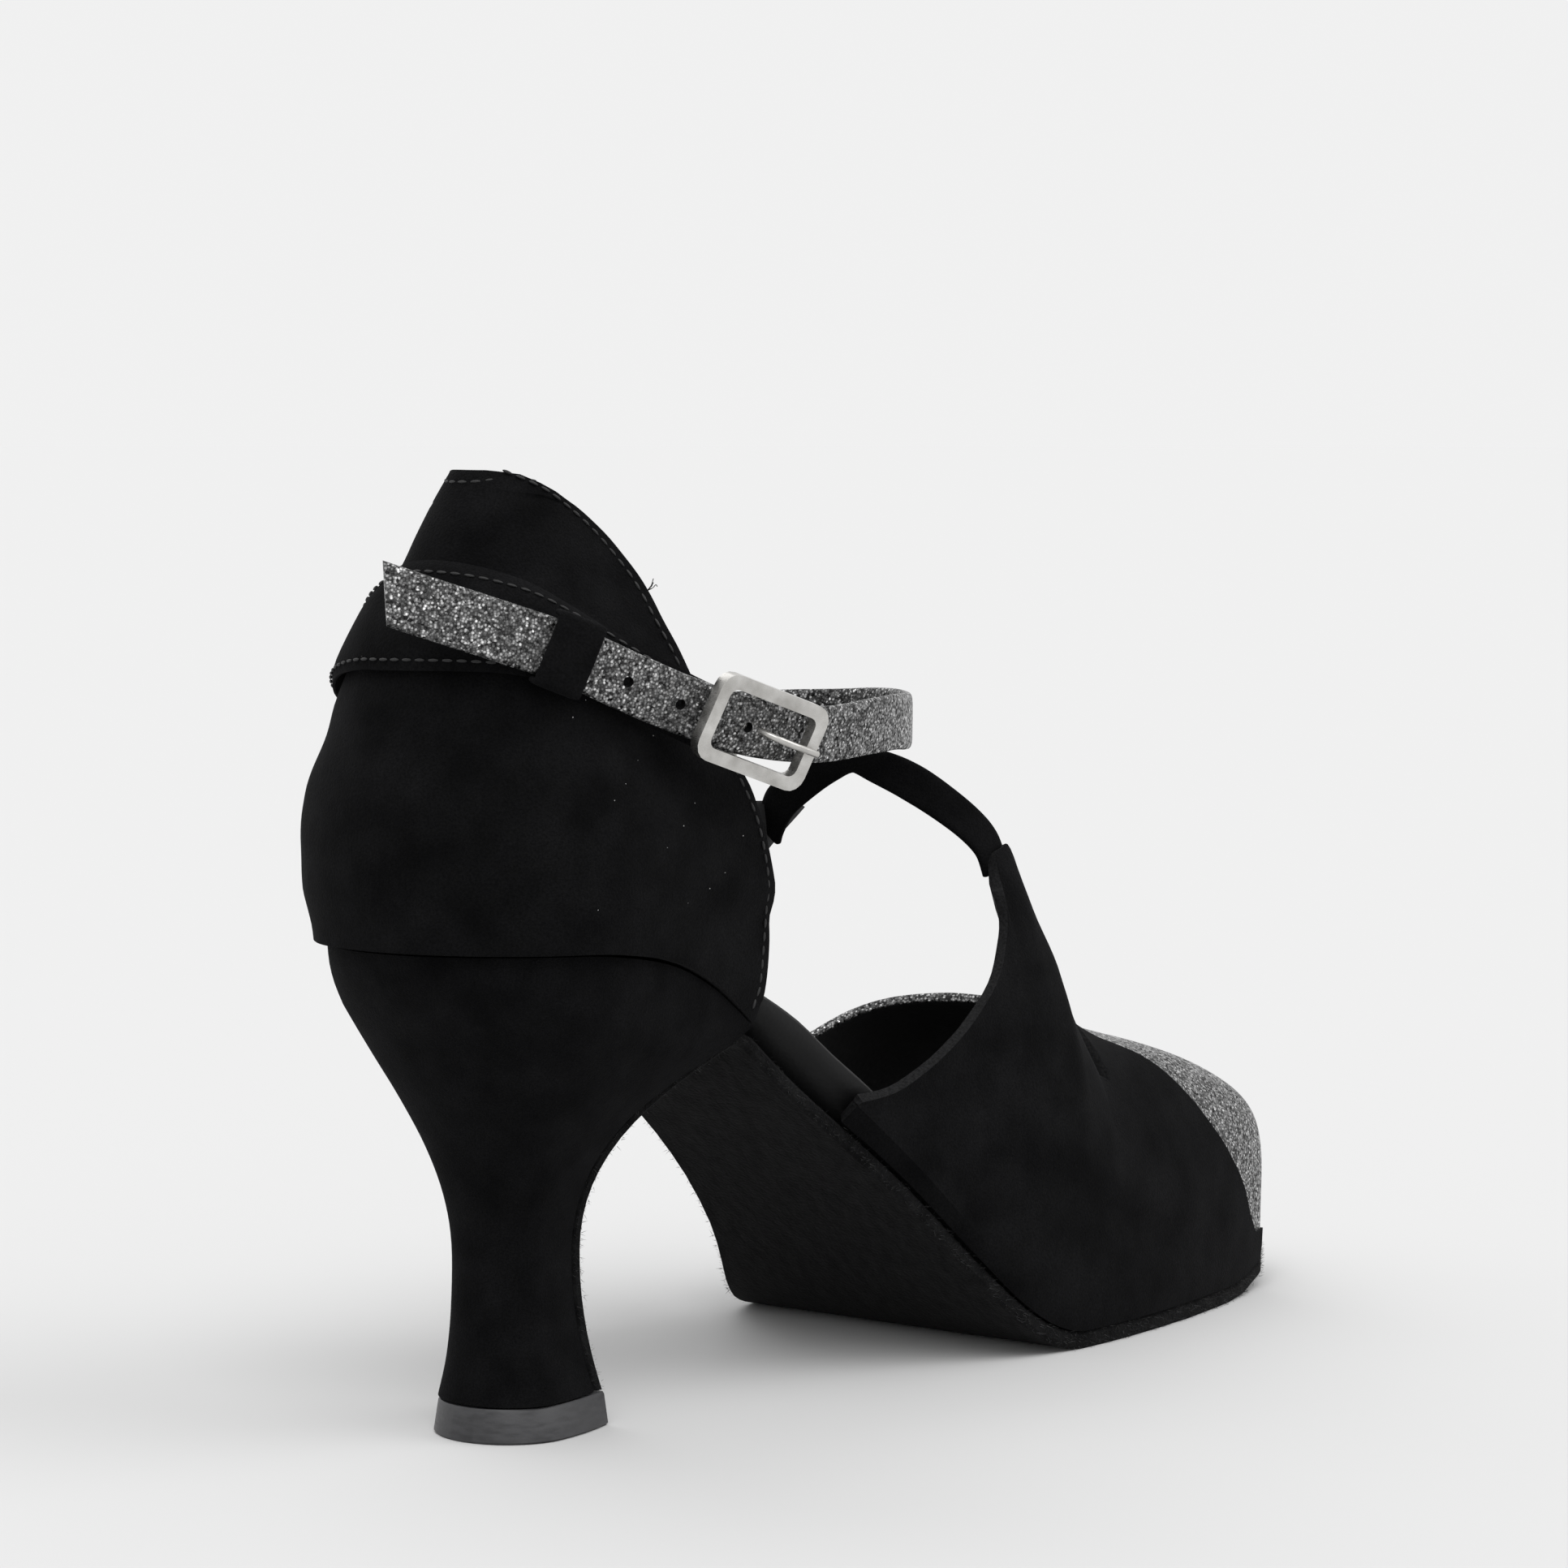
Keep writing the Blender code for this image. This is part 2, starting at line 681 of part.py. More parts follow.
def lifted(x, lift):
    """Height at a share of the way from the sole to the collar's edge."""
    low = foot_height(x)
    crown = (QUARTER["centre"][-1] - QUARTER["back"][-1]) * HALF_WIDTH
    ahead = (x - crown) / CROWN_RUN
    top = rise(1.0) - CROWN_FALL * min(max(ahead, 0.0), 1.0)
    return low + (top - low) * lift


def quarter_row(lift, front_outer, front_inner):
    row = []
    for side, front in ((-1, front_outer), (1, front_inner)):
        centre = quarter_section(lifted(0.0, lift))[0]
        arc = []
        for k in range(9):
            bearing = side * math.radians(90 * k / 8)
            x = quarter_back(bearing, lifted(centre, lift))[0]
            arc.append(quarter_back(bearing, lifted(x, lift)))
        start = arc[-1].x
        if front < start:
            # A collar row that ends behind the centre keeps to the arc.
            reach = math.degrees(math.acos(min(max((centre - front) / (centre - arc[0].x), -1), 1)))
            arc = []
            for k in range(9):
                bearing = side * math.radians(reach * k / 12)
                x = quarter_back(bearing, lifted(centre, lift))[0]
                arc.append(quarter_back(bearing, lifted(x, lift)))
            for k in range(1, 5):
                bearing = side * math.radians(reach * (8 + k) / 12)
                x = quarter_back(bearing, lifted(centre, lift))[0]
                arc.append(quarter_back(bearing, lifted(x, lift)))
        else:
            for k in range(1, 5):
                x = start + (front - start) * k / 4
                arc.append(quarter_side(x, lifted(x, lift), side))
        row.append(arc)
    return row[0][:0:-1] + row[1]


def coons(bottom, top, left, right):
    """Rows of a patch between four edges of points, from the bottom to the top."""
    rows, columns = len(left), len(bottom)
    out = []
    for i in range(rows):
        v = i / (rows - 1)
        line = []
        for j in range(columns):
            u = j / (columns - 1)
            corner = ((1 - u) * (1 - v) * bottom[0] + u * (1 - v) * bottom[-1]
                      + (1 - u) * v * top[0] + u * v * top[-1])
            line.append((1 - v) * bottom[j] + v * top[j] + (1 - u) * left[i] + u * right[i] - corner)
        out.append(line)
    return out


def resample(points, count):
    lengths = [0.0]
    for a, b in zip(points, points[1:]):
        lengths.append(lengths[-1] + (b - a).length)
    out = []
    for k in range(count):
        want = lengths[-1] * k / (count - 1)
        i = max(n for n in range(len(points) - 1) if lengths[n] <= want + 1e-9)
        t = (want - lengths[i]) / max(lengths[i + 1] - lengths[i], 1e-9)
        out.append(points[i].lerp(points[i + 1], min(t, 1.0)))
    return out


def quarter_surface():
    """Quarter and inner wing as one open surface."""
    rows = [quarter_row(lift, outer * LAST_LENGTH, inner * LAST_LENGTH)
            for lift, outer, inner in zip(*(COLLAR[k] for k in ("lift", "outer", "inner")))]
    columns = len(rows[0])
    verts = [p for row in rows for p in row]
    faces = grid_faces(len(rows), columns)

    left = [row[-1] for row in rows[:WING_ROWS]]
    front = [Vector((x * LAST_LENGTH, y * HALF_WIDTH, rise(r)))
             for x, y, r in zip(*(WING_FRONT[k] for k in ("x", "y", "rise")))]
    top = [Vector((x * LAST_LENGTH, y * HALF_WIDTH, rise(r)))
           for x, y, r in zip(*(WING_TOP[k] for k in ("x", "y", "rise")))]
    top = resample([left[-1]] + top[1:], WING_COLUMNS)
    start = left[0].x
    bottom, foot = [left[1]], [left[0]]
    for j in range(1, WING_COLUMNS):
        x = start + (front[0].x - start) * j / (WING_COLUMNS - 1)
        foot.append(Vector((x, tuck_half(1, x), foot_height(x) + 3 * FIT)))
        bottom.append(Vector((x, edge_half(1, x), foot_height(x) + FEATHER)))
    front[0] = bottom[-1]
    patch = [foot] + coons(bottom, top, left[1:], front)
    base = len(verts)
    verts += [p for row in patch for p in row]
    faces += grid_faces(len(patch), WING_COLUMNS, base)
    return verts, faces


# Vamp
def vamp_point(x, girth):
    """Point of the vamp: girth 0 at the outer sole, a half on the ridge, 1 at the inner sole."""
    side = -1 if girth < 0.5 else 1
    low = foot_height(x) + FEATHER
    top = read(RIDGE, "z", x / LAST_LENGTH) * INSTEP_HEIGHT
    power = 2 / read(RIDGE, "outer" if side < 0 else "inner", x / LAST_LENGTH)
    angle = math.pi * (girth if side < 0 else 1 - girth)
    across = max(math.cos(angle), 0.0) ** power
    return Vector((x, side * edge_half(side, x) * across,
                   low + (top - low) * math.sin(angle) ** power))


def raised(point, x, girth):
    """The point moved out of the surface by the step of the side panel."""
    small = 0.01
    along = vamp_point(x + small * HALF_WIDTH, girth) - point
    around = vamp_point(x, girth + small) - point
    normal = along.cross(around)
    return point + normal.normalized() * PANEL_STEP if normal.length else point


def vamp_surface():
    """Open-toed vamp with the outer wing, the suede panel standing proud of it."""
    columns = VAMP_COLUMNS
    fine = [k / (columns - 1) for k in range(columns)]
    lines = []
    for share in PANEL_SHARES:
        line = []
        for u in fine:
            girth = PANEL["girth"][0] * share
            for _ in range(4):
                x = LAST_LENGTH * (read(VAMP_ENDS, "throat", girth, "girth") * (1 - u)
                                   + read(VAMP_ENDS, "toe", girth, "girth") * u)
                girth = read(PANEL, "girth", x / LAST_LENGTH) * share
            line.append(raised(vamp_point(x, girth), x, girth))
        lines.append(line)
    for k in range(VAMP_TOP_ROWS):
        line = []
        for u in fine:
            girth = PANEL["girth"][0]
            for _ in range(4):
                x = LAST_LENGTH * (read(VAMP_ENDS, "throat", girth, "girth") * (1 - u)
                                   + read(VAMP_ENDS, "toe", girth, "girth") * u)
                edge = read(PANEL, "girth", x / LAST_LENGTH) + PANEL_LIP
                girth = edge + (1 - edge) * k / (VAMP_TOP_ROWS - 1)
            line.append(vamp_point(x, girth))
        lines.append(line)
    foot_out = [Vector((p.x, -tuck_half(-1, p.x) - PANEL_STEP, foot_height(p.x))) for p in lines[0]]
    foot_in = [Vector((p.x, tuck_half(1, p.x), foot_height(p.x))) for p in lines[-1]]
    lines = [foot_out] + lines + [foot_in]
    verts = [p for line in lines for p in line]
    faces = grid_faces(len(lines), columns, 0, True)

    # The outer wing: ribs from the sole to its top edge, shaped like the vamp's first column.
    pattern = [line[0] for line in lines[1:NOTCH_ROW + 2]]
    span = pattern[-1] - pattern[0]
    shares = [((p.y - pattern[0].y) / span.y, (p.z - pattern[0].z) / span.z) for p in pattern]
    ribs = []
    for foot, x, y, r in zip(*(RIBS[k] for k in ("foot", "x", "y", "rise"))):
        fx = foot * LAST_LENGTH
        tuck = Vector((fx, -tuck_half(-1, fx) - PANEL_STEP, foot_height(fx)))
        low = Vector((fx, -edge_half(-1, fx) - PANEL_STEP, foot_height(fx) + FEATHER))
        high = Vector((x * LAST_LENGTH, y * HALF_WIDTH - PANEL_STEP, rise(r)))
        rib = [tuck]
        for across, up in shares:
            rib.append(Vector((low.x + (high.x - low.x) * up, low.y + (high.y - low.y) * across,
                               low.z + (high.z - low.z) * up)))
        ribs.append(rib)
    ribs.append([line[0] for line in lines[:NOTCH_ROW + 2]])
    count = len(ribs)
    base = len(verts)
    verts += [ribs[j][i] for i in range(NOTCH_ROW + 2) for j in range(count)]
    faces += grid_faces(NOTCH_ROW + 2, count, base, True)
    return verts, faces


# Straps
def ribbon(name, stations, collection, material):
    """Flat strap: each station is a middle point, a width direction, a width and a thickness."""
    rings = []
    for i, (point, across, width, thick) in enumerate(stations):
        before = stations[max(i - 1, 0)][0]
        after = stations[min(i + 1, len(stations) - 1)][0]
        along = (after - before).normalized()
        across = (across - along * across.dot(along)).normalized()
        out = along.cross(across).normalized() * thick / 2
        half = across * width / 2
        rings.append([point - half - out, point + half - out, point + half + out, point - half + out])
    return loft(name, rings, collection, material)


def strap_points(rows, names=("x", "y", "rise")):
    return [Vector((x * LAST_LENGTH, y * HALF_WIDTH, rise(r)))
            for x, y, r in zip(*(rows[k] for k in names))]


def make_instep_strap(collection):
    points = strap_points(INSTEP_STRAP)
    leans = [Vector((lean, 0, 0)) for lean in INSTEP_STRAP["lean"]]
    stations = []
    for p, lean in zip(catmull(points, 2), catmull(leans, 2)):
        a = math.radians(lean.x)
        stations.append((p, Vector((math.sin(a), 0, math.cos(a))), INSTEP_STRAP_WIDTH,
                         INSTEP_STRAP_THICK))
    return ribbon("instep_strap", stations, collection, None)


def strap_leans():
    """Direction across the ankle strap at each station, its top edge leaning outwards."""
    angles = [math.radians(lean) for lean in ANKLE_STRAP["lean"]]
    return [Vector((0, -math.sin(a), math.cos(a))) for a in angles]


def strap_frame(station):
    """Place of a fitting on the ankle strap: along to the front, up, and out."""
    points = strap_points(ANKLE_STRAP)
    along = (points[station - 1] - points[station + 1]).normalized()
    across = strap_leans()[station]
    up = (across - along * along.dot(across)).normalized()
    out = along.cross(up).normalized()
    middle = points[station]
    if out.y > 0:
        out = -out
    return Matrix(((along.x, up.x, out.x, middle.x), (along.y, up.y, out.y, middle.y),
                   (along.z, up.z, out.z, middle.z), (0, 0, 0, 1)))


def buckle_place():
    """Place of the buckle, turned a little on its strap with its front bar down."""
    return strap_frame(BUCKLE_STATION) @ Matrix.Rotation(math.radians(-BUCKLE_TURN), 4, "Z")


def make_ankle_strap(collection, cutters, material):
    stations = [(p, across, STRAP_WIDTH, STRAP_THICK) for p, across in
                zip(catmull(strap_points(ANKLE_STRAP), 3), catmull(strap_leans(), 3))]
    strap = ribbon("ankle_strap", stations, collection, material)
    ends = [Vector((0, 0, -PRONG_HOLE_REACH)), Vector((0, 0, PRONG_HOLE_REACH))]
    hole = tube("prong_hole", ends, PRONG_HOLE_RADIUS, cutters)
    hole.data.transform(buckle_place() @ Matrix.Translation((CENTRE_BAR_RADIUS, 0, 0)))
    add_boolean(strap, hole, "DIFFERENCE")
    return strap


def make_heel_band(collection, material):
    rings = []
    reach = BAND_THICK + BAND_GAP

    def add(point_at, middle, width):
        heights = [rise(middle + width * share) for share in BAND_HEIGHTS]
        ring = [point_at(z, BAND_GAP) for z in heights]
        ring += [point_at(z, reach) for z in reversed(heights)]
        rings.append(ring)

    def on_side(z, grow):
        point = quarter_side(BAND_INNER_END * LAST_LENGTH, z, 1)
        return point + Vector((0, grow, 0))

    add(on_side, BAND["middle"][0] - BAND_INNER_DROP, BAND["width"][0])
    for bearing, middle, width in zip(*(BAND[k] for k in ("bearing", "middle", "width"))):
        angle = math.radians(bearing)

        def on_back(z, grow, angle=angle):
            centre, back, half = quarter_section(z)
            away = Vector((-math.cos(angle) / back, math.sin(angle) / half, 0)).normalized()
            return quarter_back(angle, z) + away * grow

        add(on_back, middle, width)
    tail = list(zip(*(BAND_TAIL[k] for k in ("x", "y", "middle", "width"))))
    before = Vector((0.0, BAND_TAIL_START * HALF_WIDTH, 0))
    for x, y, middle, width in tail:
        place = Vector((x * LAST_LENGTH, y * HALF_WIDTH, 0))
        along = (place - before).normalized()
        away = Vector((along.y, -along.x, 0))
        before = place

        def free(z, grow, place=place, away=away):
            return place + away * (grow - BAND_GAP - BAND_THICK / 2) + Vector((0, 0, z))

        add(free, middle, width)
    return loft("heel_band", rings, collection, material)


def box(name, size, place, collection):
    mesh = bpy.data.meshes.new(name)
    body = bmesh.new()
    bmesh.ops.create_cube(body, size=1.0)
    bmesh.ops.scale(body, vec=size, verts=body.verts)
    bmesh.ops.translate(body, vec=place, verts=body.verts)
    body.to_mesh(mesh)
    body.free()
    obj = bpy.data.objects.new(name, mesh)
    collection.objects.link(obj)
    return obj


def from_curve(curve_object, collection):
    """The curve as a closed mesh, its caps welded."""
    bpy.context.view_layer.update()
    graph = bpy.context.evaluated_depsgraph_get()
    mesh = bpy.data.meshes.new_from_object(curve_object.evaluated_get(graph))
    name = curve_object.name
    bpy.data.objects.remove(curve_object)
    body = bmesh.new()
    body.from_mesh(mesh)
    bmesh.ops.remove_doubles(body, verts=body.verts, dist=0.000005)
    bmesh.ops.recalc_face_normals(body, faces=body.faces)
    body.to_mesh(mesh)
    body.free()
    obj = bpy.data.objects.new(name, mesh)
    collection.objects.link(obj)
    return obj


def tube(name, points, radius, collection):
    curve = bpy.data.curves.new(name, "CURVE")
    curve.dimensions = "3D"
    curve.bevel_depth = radius
    curve.bevel_resolution = 2
    curve.use_fill_caps = True
    spline = curve.splines.new("POLY")
    spline.points.add(len(points) - 1)
    for point, place in zip(spline.points, points):
        point.co = (*place, 1)
    obj = bpy.data.objects.new(name, curve)
    collection.objects.link(obj)
    return from_curve(obj, collection)


def rounded_outline(curve, length, height, corner):
    spline = curve.splines.new("POLY")
    points = []
    for turn, (sx, sy) in enumerate(((1, 1), (-1, 1), (-1, -1), (1, -1))):
        for k in range(5):
            a = math.radians(90 * turn + 22.5 * k)
            points.append((sx * (length / 2 - corner) + corner * math.cos(a),
                           sy * (height / 2 - corner) + corner * math.sin(a)))
    spline.points.add(len(points) - 1)
    for point, (x, y) in zip(spline.points, points):
        point.co = (x, y, 0, 1)
    spline.use_cyclic_u = True


def make_buckle_frame(collection, cutters, material):
    window = STRAP_WIDTH + 2 * FIT
    curve = bpy.data.curves.new("buckle_frame", "CURVE")
    curve.dimensions = "2D"
    curve.fill_mode = "BOTH"
    curve.extrude = BUCKLE_THICK / 2
    height = window + 2 * BUCKLE_BAR
    rounded_outline(curve, BUCKLE_LENGTH, height, BUCKLE_CORNER)
    rounded_outline(curve, BUCKLE_LENGTH - 2 * BUCKLE_BAR, window, BUCKLE_CORNER / 2)
    flat = bpy.data.objects.new("buckle_frame", curve)
    collection.objects.link(flat)
    frame = from_curve(flat, collection)
    place = buckle_place()
    middle = STRAP_THICK / 2 + FIT + BUCKLE_THICK / 2
    frame.data.transform(place @ Matrix.Translation((0, 0, middle)))
    depth = -(STRAP_THICK / 2 + FIT + CENTRE_BAR_RADIUS)
    arm_y = window / 2 + BUCKLE_BAR / 2
    bar = tube("centre_bar", [Vector((0, -arm_y, depth)), Vector((0, arm_y, depth))],
               CENTRE_BAR_RADIUS, cutters)
    bar.data.transform(place)
    for side, name in ((-1, "arm_low"), (1, "arm_high")):
        tall = middle - depth + CENTRE_BAR_RADIUS
        arm = box(name, (2 * BUCKLE_BAR / 3, 2 * BUCKLE_BAR / 3, tall),
                  (0, side * arm_y, depth - CENTRE_BAR_RADIUS + tall / 2), cutters)
        arm.data.transform(place)
        add_boolean(frame, arm, "UNION")
    add_boolean(frame, bar, "UNION")
    frame.data.materials.append(material)
    return frame


def make_prong(collection, material):
    top = STRAP_THICK / 2 + FIT + BUCKLE_THICK + FIT + PRONG_RADIUS
    start = CENTRE_BAR_RADIUS + FIT
    low = -STRAP_THICK / 2
    points = [Vector((start, 0, low)), Vector((start, 0, -low)),
              Vector((start * PRONG_BEND, 0, top * PRONG_RISE)),
              Vector((start * PRONG_LEVEL, 0, top)), Vector((PRONG_REACH, 0, top)),
              Vector((BUCKLE_LENGTH / 2 - FIT, 0, top))]
    prong = tube("buckle_prong", points, PRONG_RADIUS, collection)
    prong.data.transform(buckle_place())
    prong.data.materials.append(material)
    return prong


def make_keeper(collection, material):
    """Staple over the tail, its two feet on the band."""
    place = strap_frame(KEEPER_STATION)
    inner = STRAP_WIDTH / 2 + FIT
    outer = inner + KEEPER_THICK
    low = -STRAP_THICK / 2
    high = STRAP_THICK / 2 + FIT
    outline = [(-outer, low), (-outer, high + KEEPER_THICK), (outer, high + KEEPER_THICK),
               (outer, low), (inner, low), (inner, high), (-inner, high), (-inner, low)]
    verts, faces = [], []
    for x in (-KEEPER_WIDTH / 2, KEEPER_WIDTH / 2):
        verts += [place @ Vector((x, y, z)) for y, z in outline]
    count = len(outline)
    for k in range(count):
        n = (k + 1) % count
        faces.append((k, n, n + count, k + count))
    faces.append(tuple(range(count))[::-1])
    faces.append(tuple(range(count, 2 * count)))
    keeper = new_object("keeper_loop", verts, faces, collection, material)
    body = bmesh.new()
    body.from_mesh(keeper.data)
    bmesh.ops.recalc_face_normals(body, faces=body.faces)
    body.to_mesh(keeper.data)
    body.free()
    return keeper


def make_upper(collection, cutters, material):
    verts, faces = quarter_surface()
    upper = new_object("upper", verts, faces, collection, material)
    thicken(upper, UPPER_WALL, -1)
    verts, faces = vamp_surface()
    vamp = new_object("vamp_wall", verts, faces, cutters)
    thicken(vamp, UPPER_WALL, -1)
    add_boolean(upper, vamp, "UNION")
    add_boolean(upper, make_instep_strap(cutters), "UNION")
    return upper


def main():
    for obj in list(bpy.data.objects):
        bpy.data.objects.remove(obj)
    parts = bpy.data.collections.new("dance_shoe")
    cutters = bpy.data.collections.new("cutters")
    for collection in (parts, cutters):
        bpy.context.scene.collection.children.link(collection)
    suede = finish_material("black_suede", (0.012, 0.012, 0.013), 0.95)
    glitter = finish_material("glitter_cloth", (0.07, 0.07, 0.075), 0.5)
    sole = finish_material("sole_suede", (0.02, 0.02, 0.021), 0.95)
    lining = finish_material("grey_lining", (0.16, 0.16, 0.165), 0.7)
    lift = finish_material("lift_rubber", (0.03, 0.03, 0.032), 0.45)
    nickel = finish_material("nickel", (0.55, 0.54, 0.52), 0.3, 1.0)
    make_outsole(parts, sole)
    make_insole(parts, lining)
    make_heel(parts, suede)
    make_top_lift(parts, lift)
    make_upper(parts, cutters, suede)
    make_heel_band(parts, suede)
    make_ankle_strap(parts, cutters, glitter)
    make_keeper(parts, suede)
    make_buckle_frame(parts, cutters, nickel)
    make_prong(parts, nickel)
    for obj in cutters.objects:
        obj.hide_render = True
        obj.display_type = "WIRE"


main()
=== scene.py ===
# Looks of the dance shoe: suede, glitter cloth, linings, stitching, hairy sole edge and light.
import math

import bmesh
import bpy
from mathutils import Matrix, Vector, noise


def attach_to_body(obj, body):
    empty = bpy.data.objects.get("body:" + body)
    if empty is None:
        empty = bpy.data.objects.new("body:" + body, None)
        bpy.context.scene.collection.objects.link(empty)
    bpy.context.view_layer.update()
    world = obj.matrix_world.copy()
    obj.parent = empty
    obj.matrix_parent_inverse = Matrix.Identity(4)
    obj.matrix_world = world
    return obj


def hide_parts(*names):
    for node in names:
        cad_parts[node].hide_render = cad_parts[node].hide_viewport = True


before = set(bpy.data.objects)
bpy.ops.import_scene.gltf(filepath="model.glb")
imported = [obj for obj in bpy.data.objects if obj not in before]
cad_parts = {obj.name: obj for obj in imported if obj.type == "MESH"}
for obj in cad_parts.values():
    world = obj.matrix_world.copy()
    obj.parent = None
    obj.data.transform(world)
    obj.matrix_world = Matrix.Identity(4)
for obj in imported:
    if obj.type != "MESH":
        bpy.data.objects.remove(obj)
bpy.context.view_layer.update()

# Driving sizes of the last
LAST_LENGTH = 0.200
HALF_WIDTH = 0.040
HEEL_HEIGHT = 0.080
COLLAR_RISE = 0.072
INSTEP_HEIGHT = 0.060

# Walls and layers
UPPER_WALL = 0.0018
PANEL_STEP = 0.0005
FIT = 0.0003
SOLE_THICK = 0.0030
WAIST_THICK = 0.0025
FLAP_THICK = 0.0022
LIFT_THICK = 0.0055
LIFT_FLARE = 0.0009
FEATHER = 0.0030
INSOLE_TUCK = 0.0048
INSOLE_TOE_MARGIN = 0.0030
SIDE_TAPER = 0.06
CROWN_FALL = 0.0016
CROWN_RUN = 0.0120

# Straps, band and keeper
STRAP_WIDTH = 0.0092
STRAP_THICK = 0.0016
INSTEP_STRAP_WIDTH = 0.0065
INSTEP_STRAP_THICK = 0.0016
BAND_THICK = 0.0020
BAND_GAP = 0.0005
KEEPER_WIDTH = 0.0080
KEEPER_THICK = 0.0012


def table(names, rows):
    return {name: [row[i] for row in rows] for i, name in enumerate(names.split())}


# Underside of the sole as a path, from the foot of the breast flap to the toe.
# x is a share of LAST_LENGTH, z of HEEL_HEIGHT, outer and inner of HALF_WIDTH.
SOLE = table("x z outer inner", [
    (0.0625, 0.0725, 0.2325, 0.2325),
    (0.0580, 0.125, 0.2125, 0.2125),
    (0.0535, 0.188, 0.195, 0.195),
    (0.0500, 0.262, 0.1825, 0.1825),
    (0.0490, 0.325, 0.1775, 0.1775),
    (0.0500, 0.388, 0.1775, 0.1775),
    (0.0540, 0.450, 0.1925, 0.1925),
    (0.0625, 0.512, 0.225, 0.225),
    (0.0760, 0.575, 0.280, 0.280),
    (0.0940, 0.632, 0.350, 0.350),
    (0.1150, 0.679, 0.420, 0.420),
    (0.1375, 0.715, 0.470, 0.470),
    (0.1575, 0.739, 0.495, 0.495),
    (0.1715, 0.741, 0.500, 0.500),
    (0.1875, 0.712, 0.502, 0.495),
    (0.2150, 0.654, 0.510, 0.478),
    (0.2550, 0.575, 0.532, 0.482),
    (0.3000, 0.485, 0.580, 0.500),
    (0.3500, 0.375, 0.650, 0.540),
    (0.4000, 0.254, 0.712, 0.612),
    (0.4400, 0.160, 0.762, 0.715),
    (0.4750, 0.088, 0.795, 0.825),
    (0.5100, 0.035, 0.815, 0.922),
    (0.5400, 0.008, 0.825, 0.975),
    (0.5600, 0.000, 0.832, 0.992),
    (0.5900, 0.000, 0.838, 1.000),
    (0.6250, 0.000, 0.838, 0.988),
    (0.6750, 0.000, 0.825, 0.950),
    (0.7350, 0.000, 0.800, 0.875),
    (0.8000, 0.000, 0.750, 0.750),
    (0.8250, 0.000, 0.725, 0.700),
    (0.8600, 0.006, 0.688, 0.625),
    (0.9100, 0.028, 0.612, 0.500),
    (0.9500, 0.059, 0.488, 0.375),
    (0.9850, 0.092, 0.325, 0.238),
    (1.0025, 0.111, 0.212, 0.150),
    (1.0120, 0.121, 0.112, 0.075),
    (1.0160, 0.125, 0.050, 0.030),
])
SEAT_END = 13
WAIST_END = 24

# Line on which the heel seat, the quarter's foot and the insole meet.
SEAT = table("x z", [
    (-0.170, 0.986),
    (-0.050, 0.979),
    (0.000, 0.966),
    (0.050, 0.941),
    (0.100, 0.891),
    (0.140, 0.831),
    (0.170, 0.781),
])

# Outside of the upper where it leaves the sole, as shares of HALF_WIDTH.
EDGE = table("x outer inner", [
    (0.000, 0.698, 0.698),
    (0.100, 0.655, 0.655),
    (0.165, 0.585, 0.600),
    (0.225, 0.600, 0.600),
    (0.275, 0.630, 0.600),
    (0.325, 0.670, 0.615),
    (0.360, 0.705, 0.640),
    (0.400, 0.740, 0.690),
    (0.435, 0.772, 0.755),
    (0.460, 0.792, 0.805),
    (0.500, 0.818, 0.905),
    (0.540, 0.830, 0.975),
    (0.575, 0.840, 1.000),
    (0.625, 0.840, 0.988),
    (0.675, 0.825, 0.950),
    (0.735, 0.800, 0.875),
    (0.800, 0.750, 0.750),
    (0.860, 0.688, 0.625),
    (0.910, 0.612, 0.500),
    (0.950, 0.488, 0.375),
    (0.985, 0.325, 0.238),
    (1.016, 0.100, 0.075),
])

# Top of the insole.
FOOTBED = table("x z", [
    (-0.150, 1.037),
    (0.000, 1.019),
    (0.100, 0.969),
    (0.170, 0.875),
    (0.235, 0.784),
    (0.275, 0.705),
    (0.320, 0.619),
    (0.375, 0.494),
    (0.425, 0.369),
    (0.475, 0.250),
    (0.515, 0.175),
    (0.560, 0.119),
    (0.610, 0.094),
    (0.700, 0.088),
    (0.825, 0.094),
    (0.900, 0.112),
    (0.960, 0.144),
    (1.000, 0.162),
])

# Heel block rings: heights as shares of HEEL_HEIGHT, back as a share of LAST_LENGTH,
# half-widths in the middle and at the breast as shares of HALF_WIDTH.
HEEL = table("z_back z_breast back middle breast", [
    (0.0725, 0.0725, -0.0525, 0.275, 0.2325),
    (0.150, 0.150, -0.0465, 0.240, 0.205),
    (0.250, 0.250, -0.0430, 0.218, 0.182),
    (0.375, 0.375, -0.0430, 0.212, 0.175),
    (0.475, 0.462, -0.0495, 0.240, 0.195),
    (0.575, 0.538, -0.0630, 0.305, 0.240),
    (0.675, 0.612, -0.0815, 0.405, 0.320),
    (0.775, 0.675, -0.1040, 0.512, 0.425),
    (0.875, 0.735, -0.1270, 0.620, 0.530),
])
HEEL_WIDEST = 0.45
HEEL_TOP_BACK = -0.1475
HEEL_TOP_BREAST = 0.1625
HEEL_TOP_MIDDLE = 0.650
HEEL_TOP_FRONT = 0.590

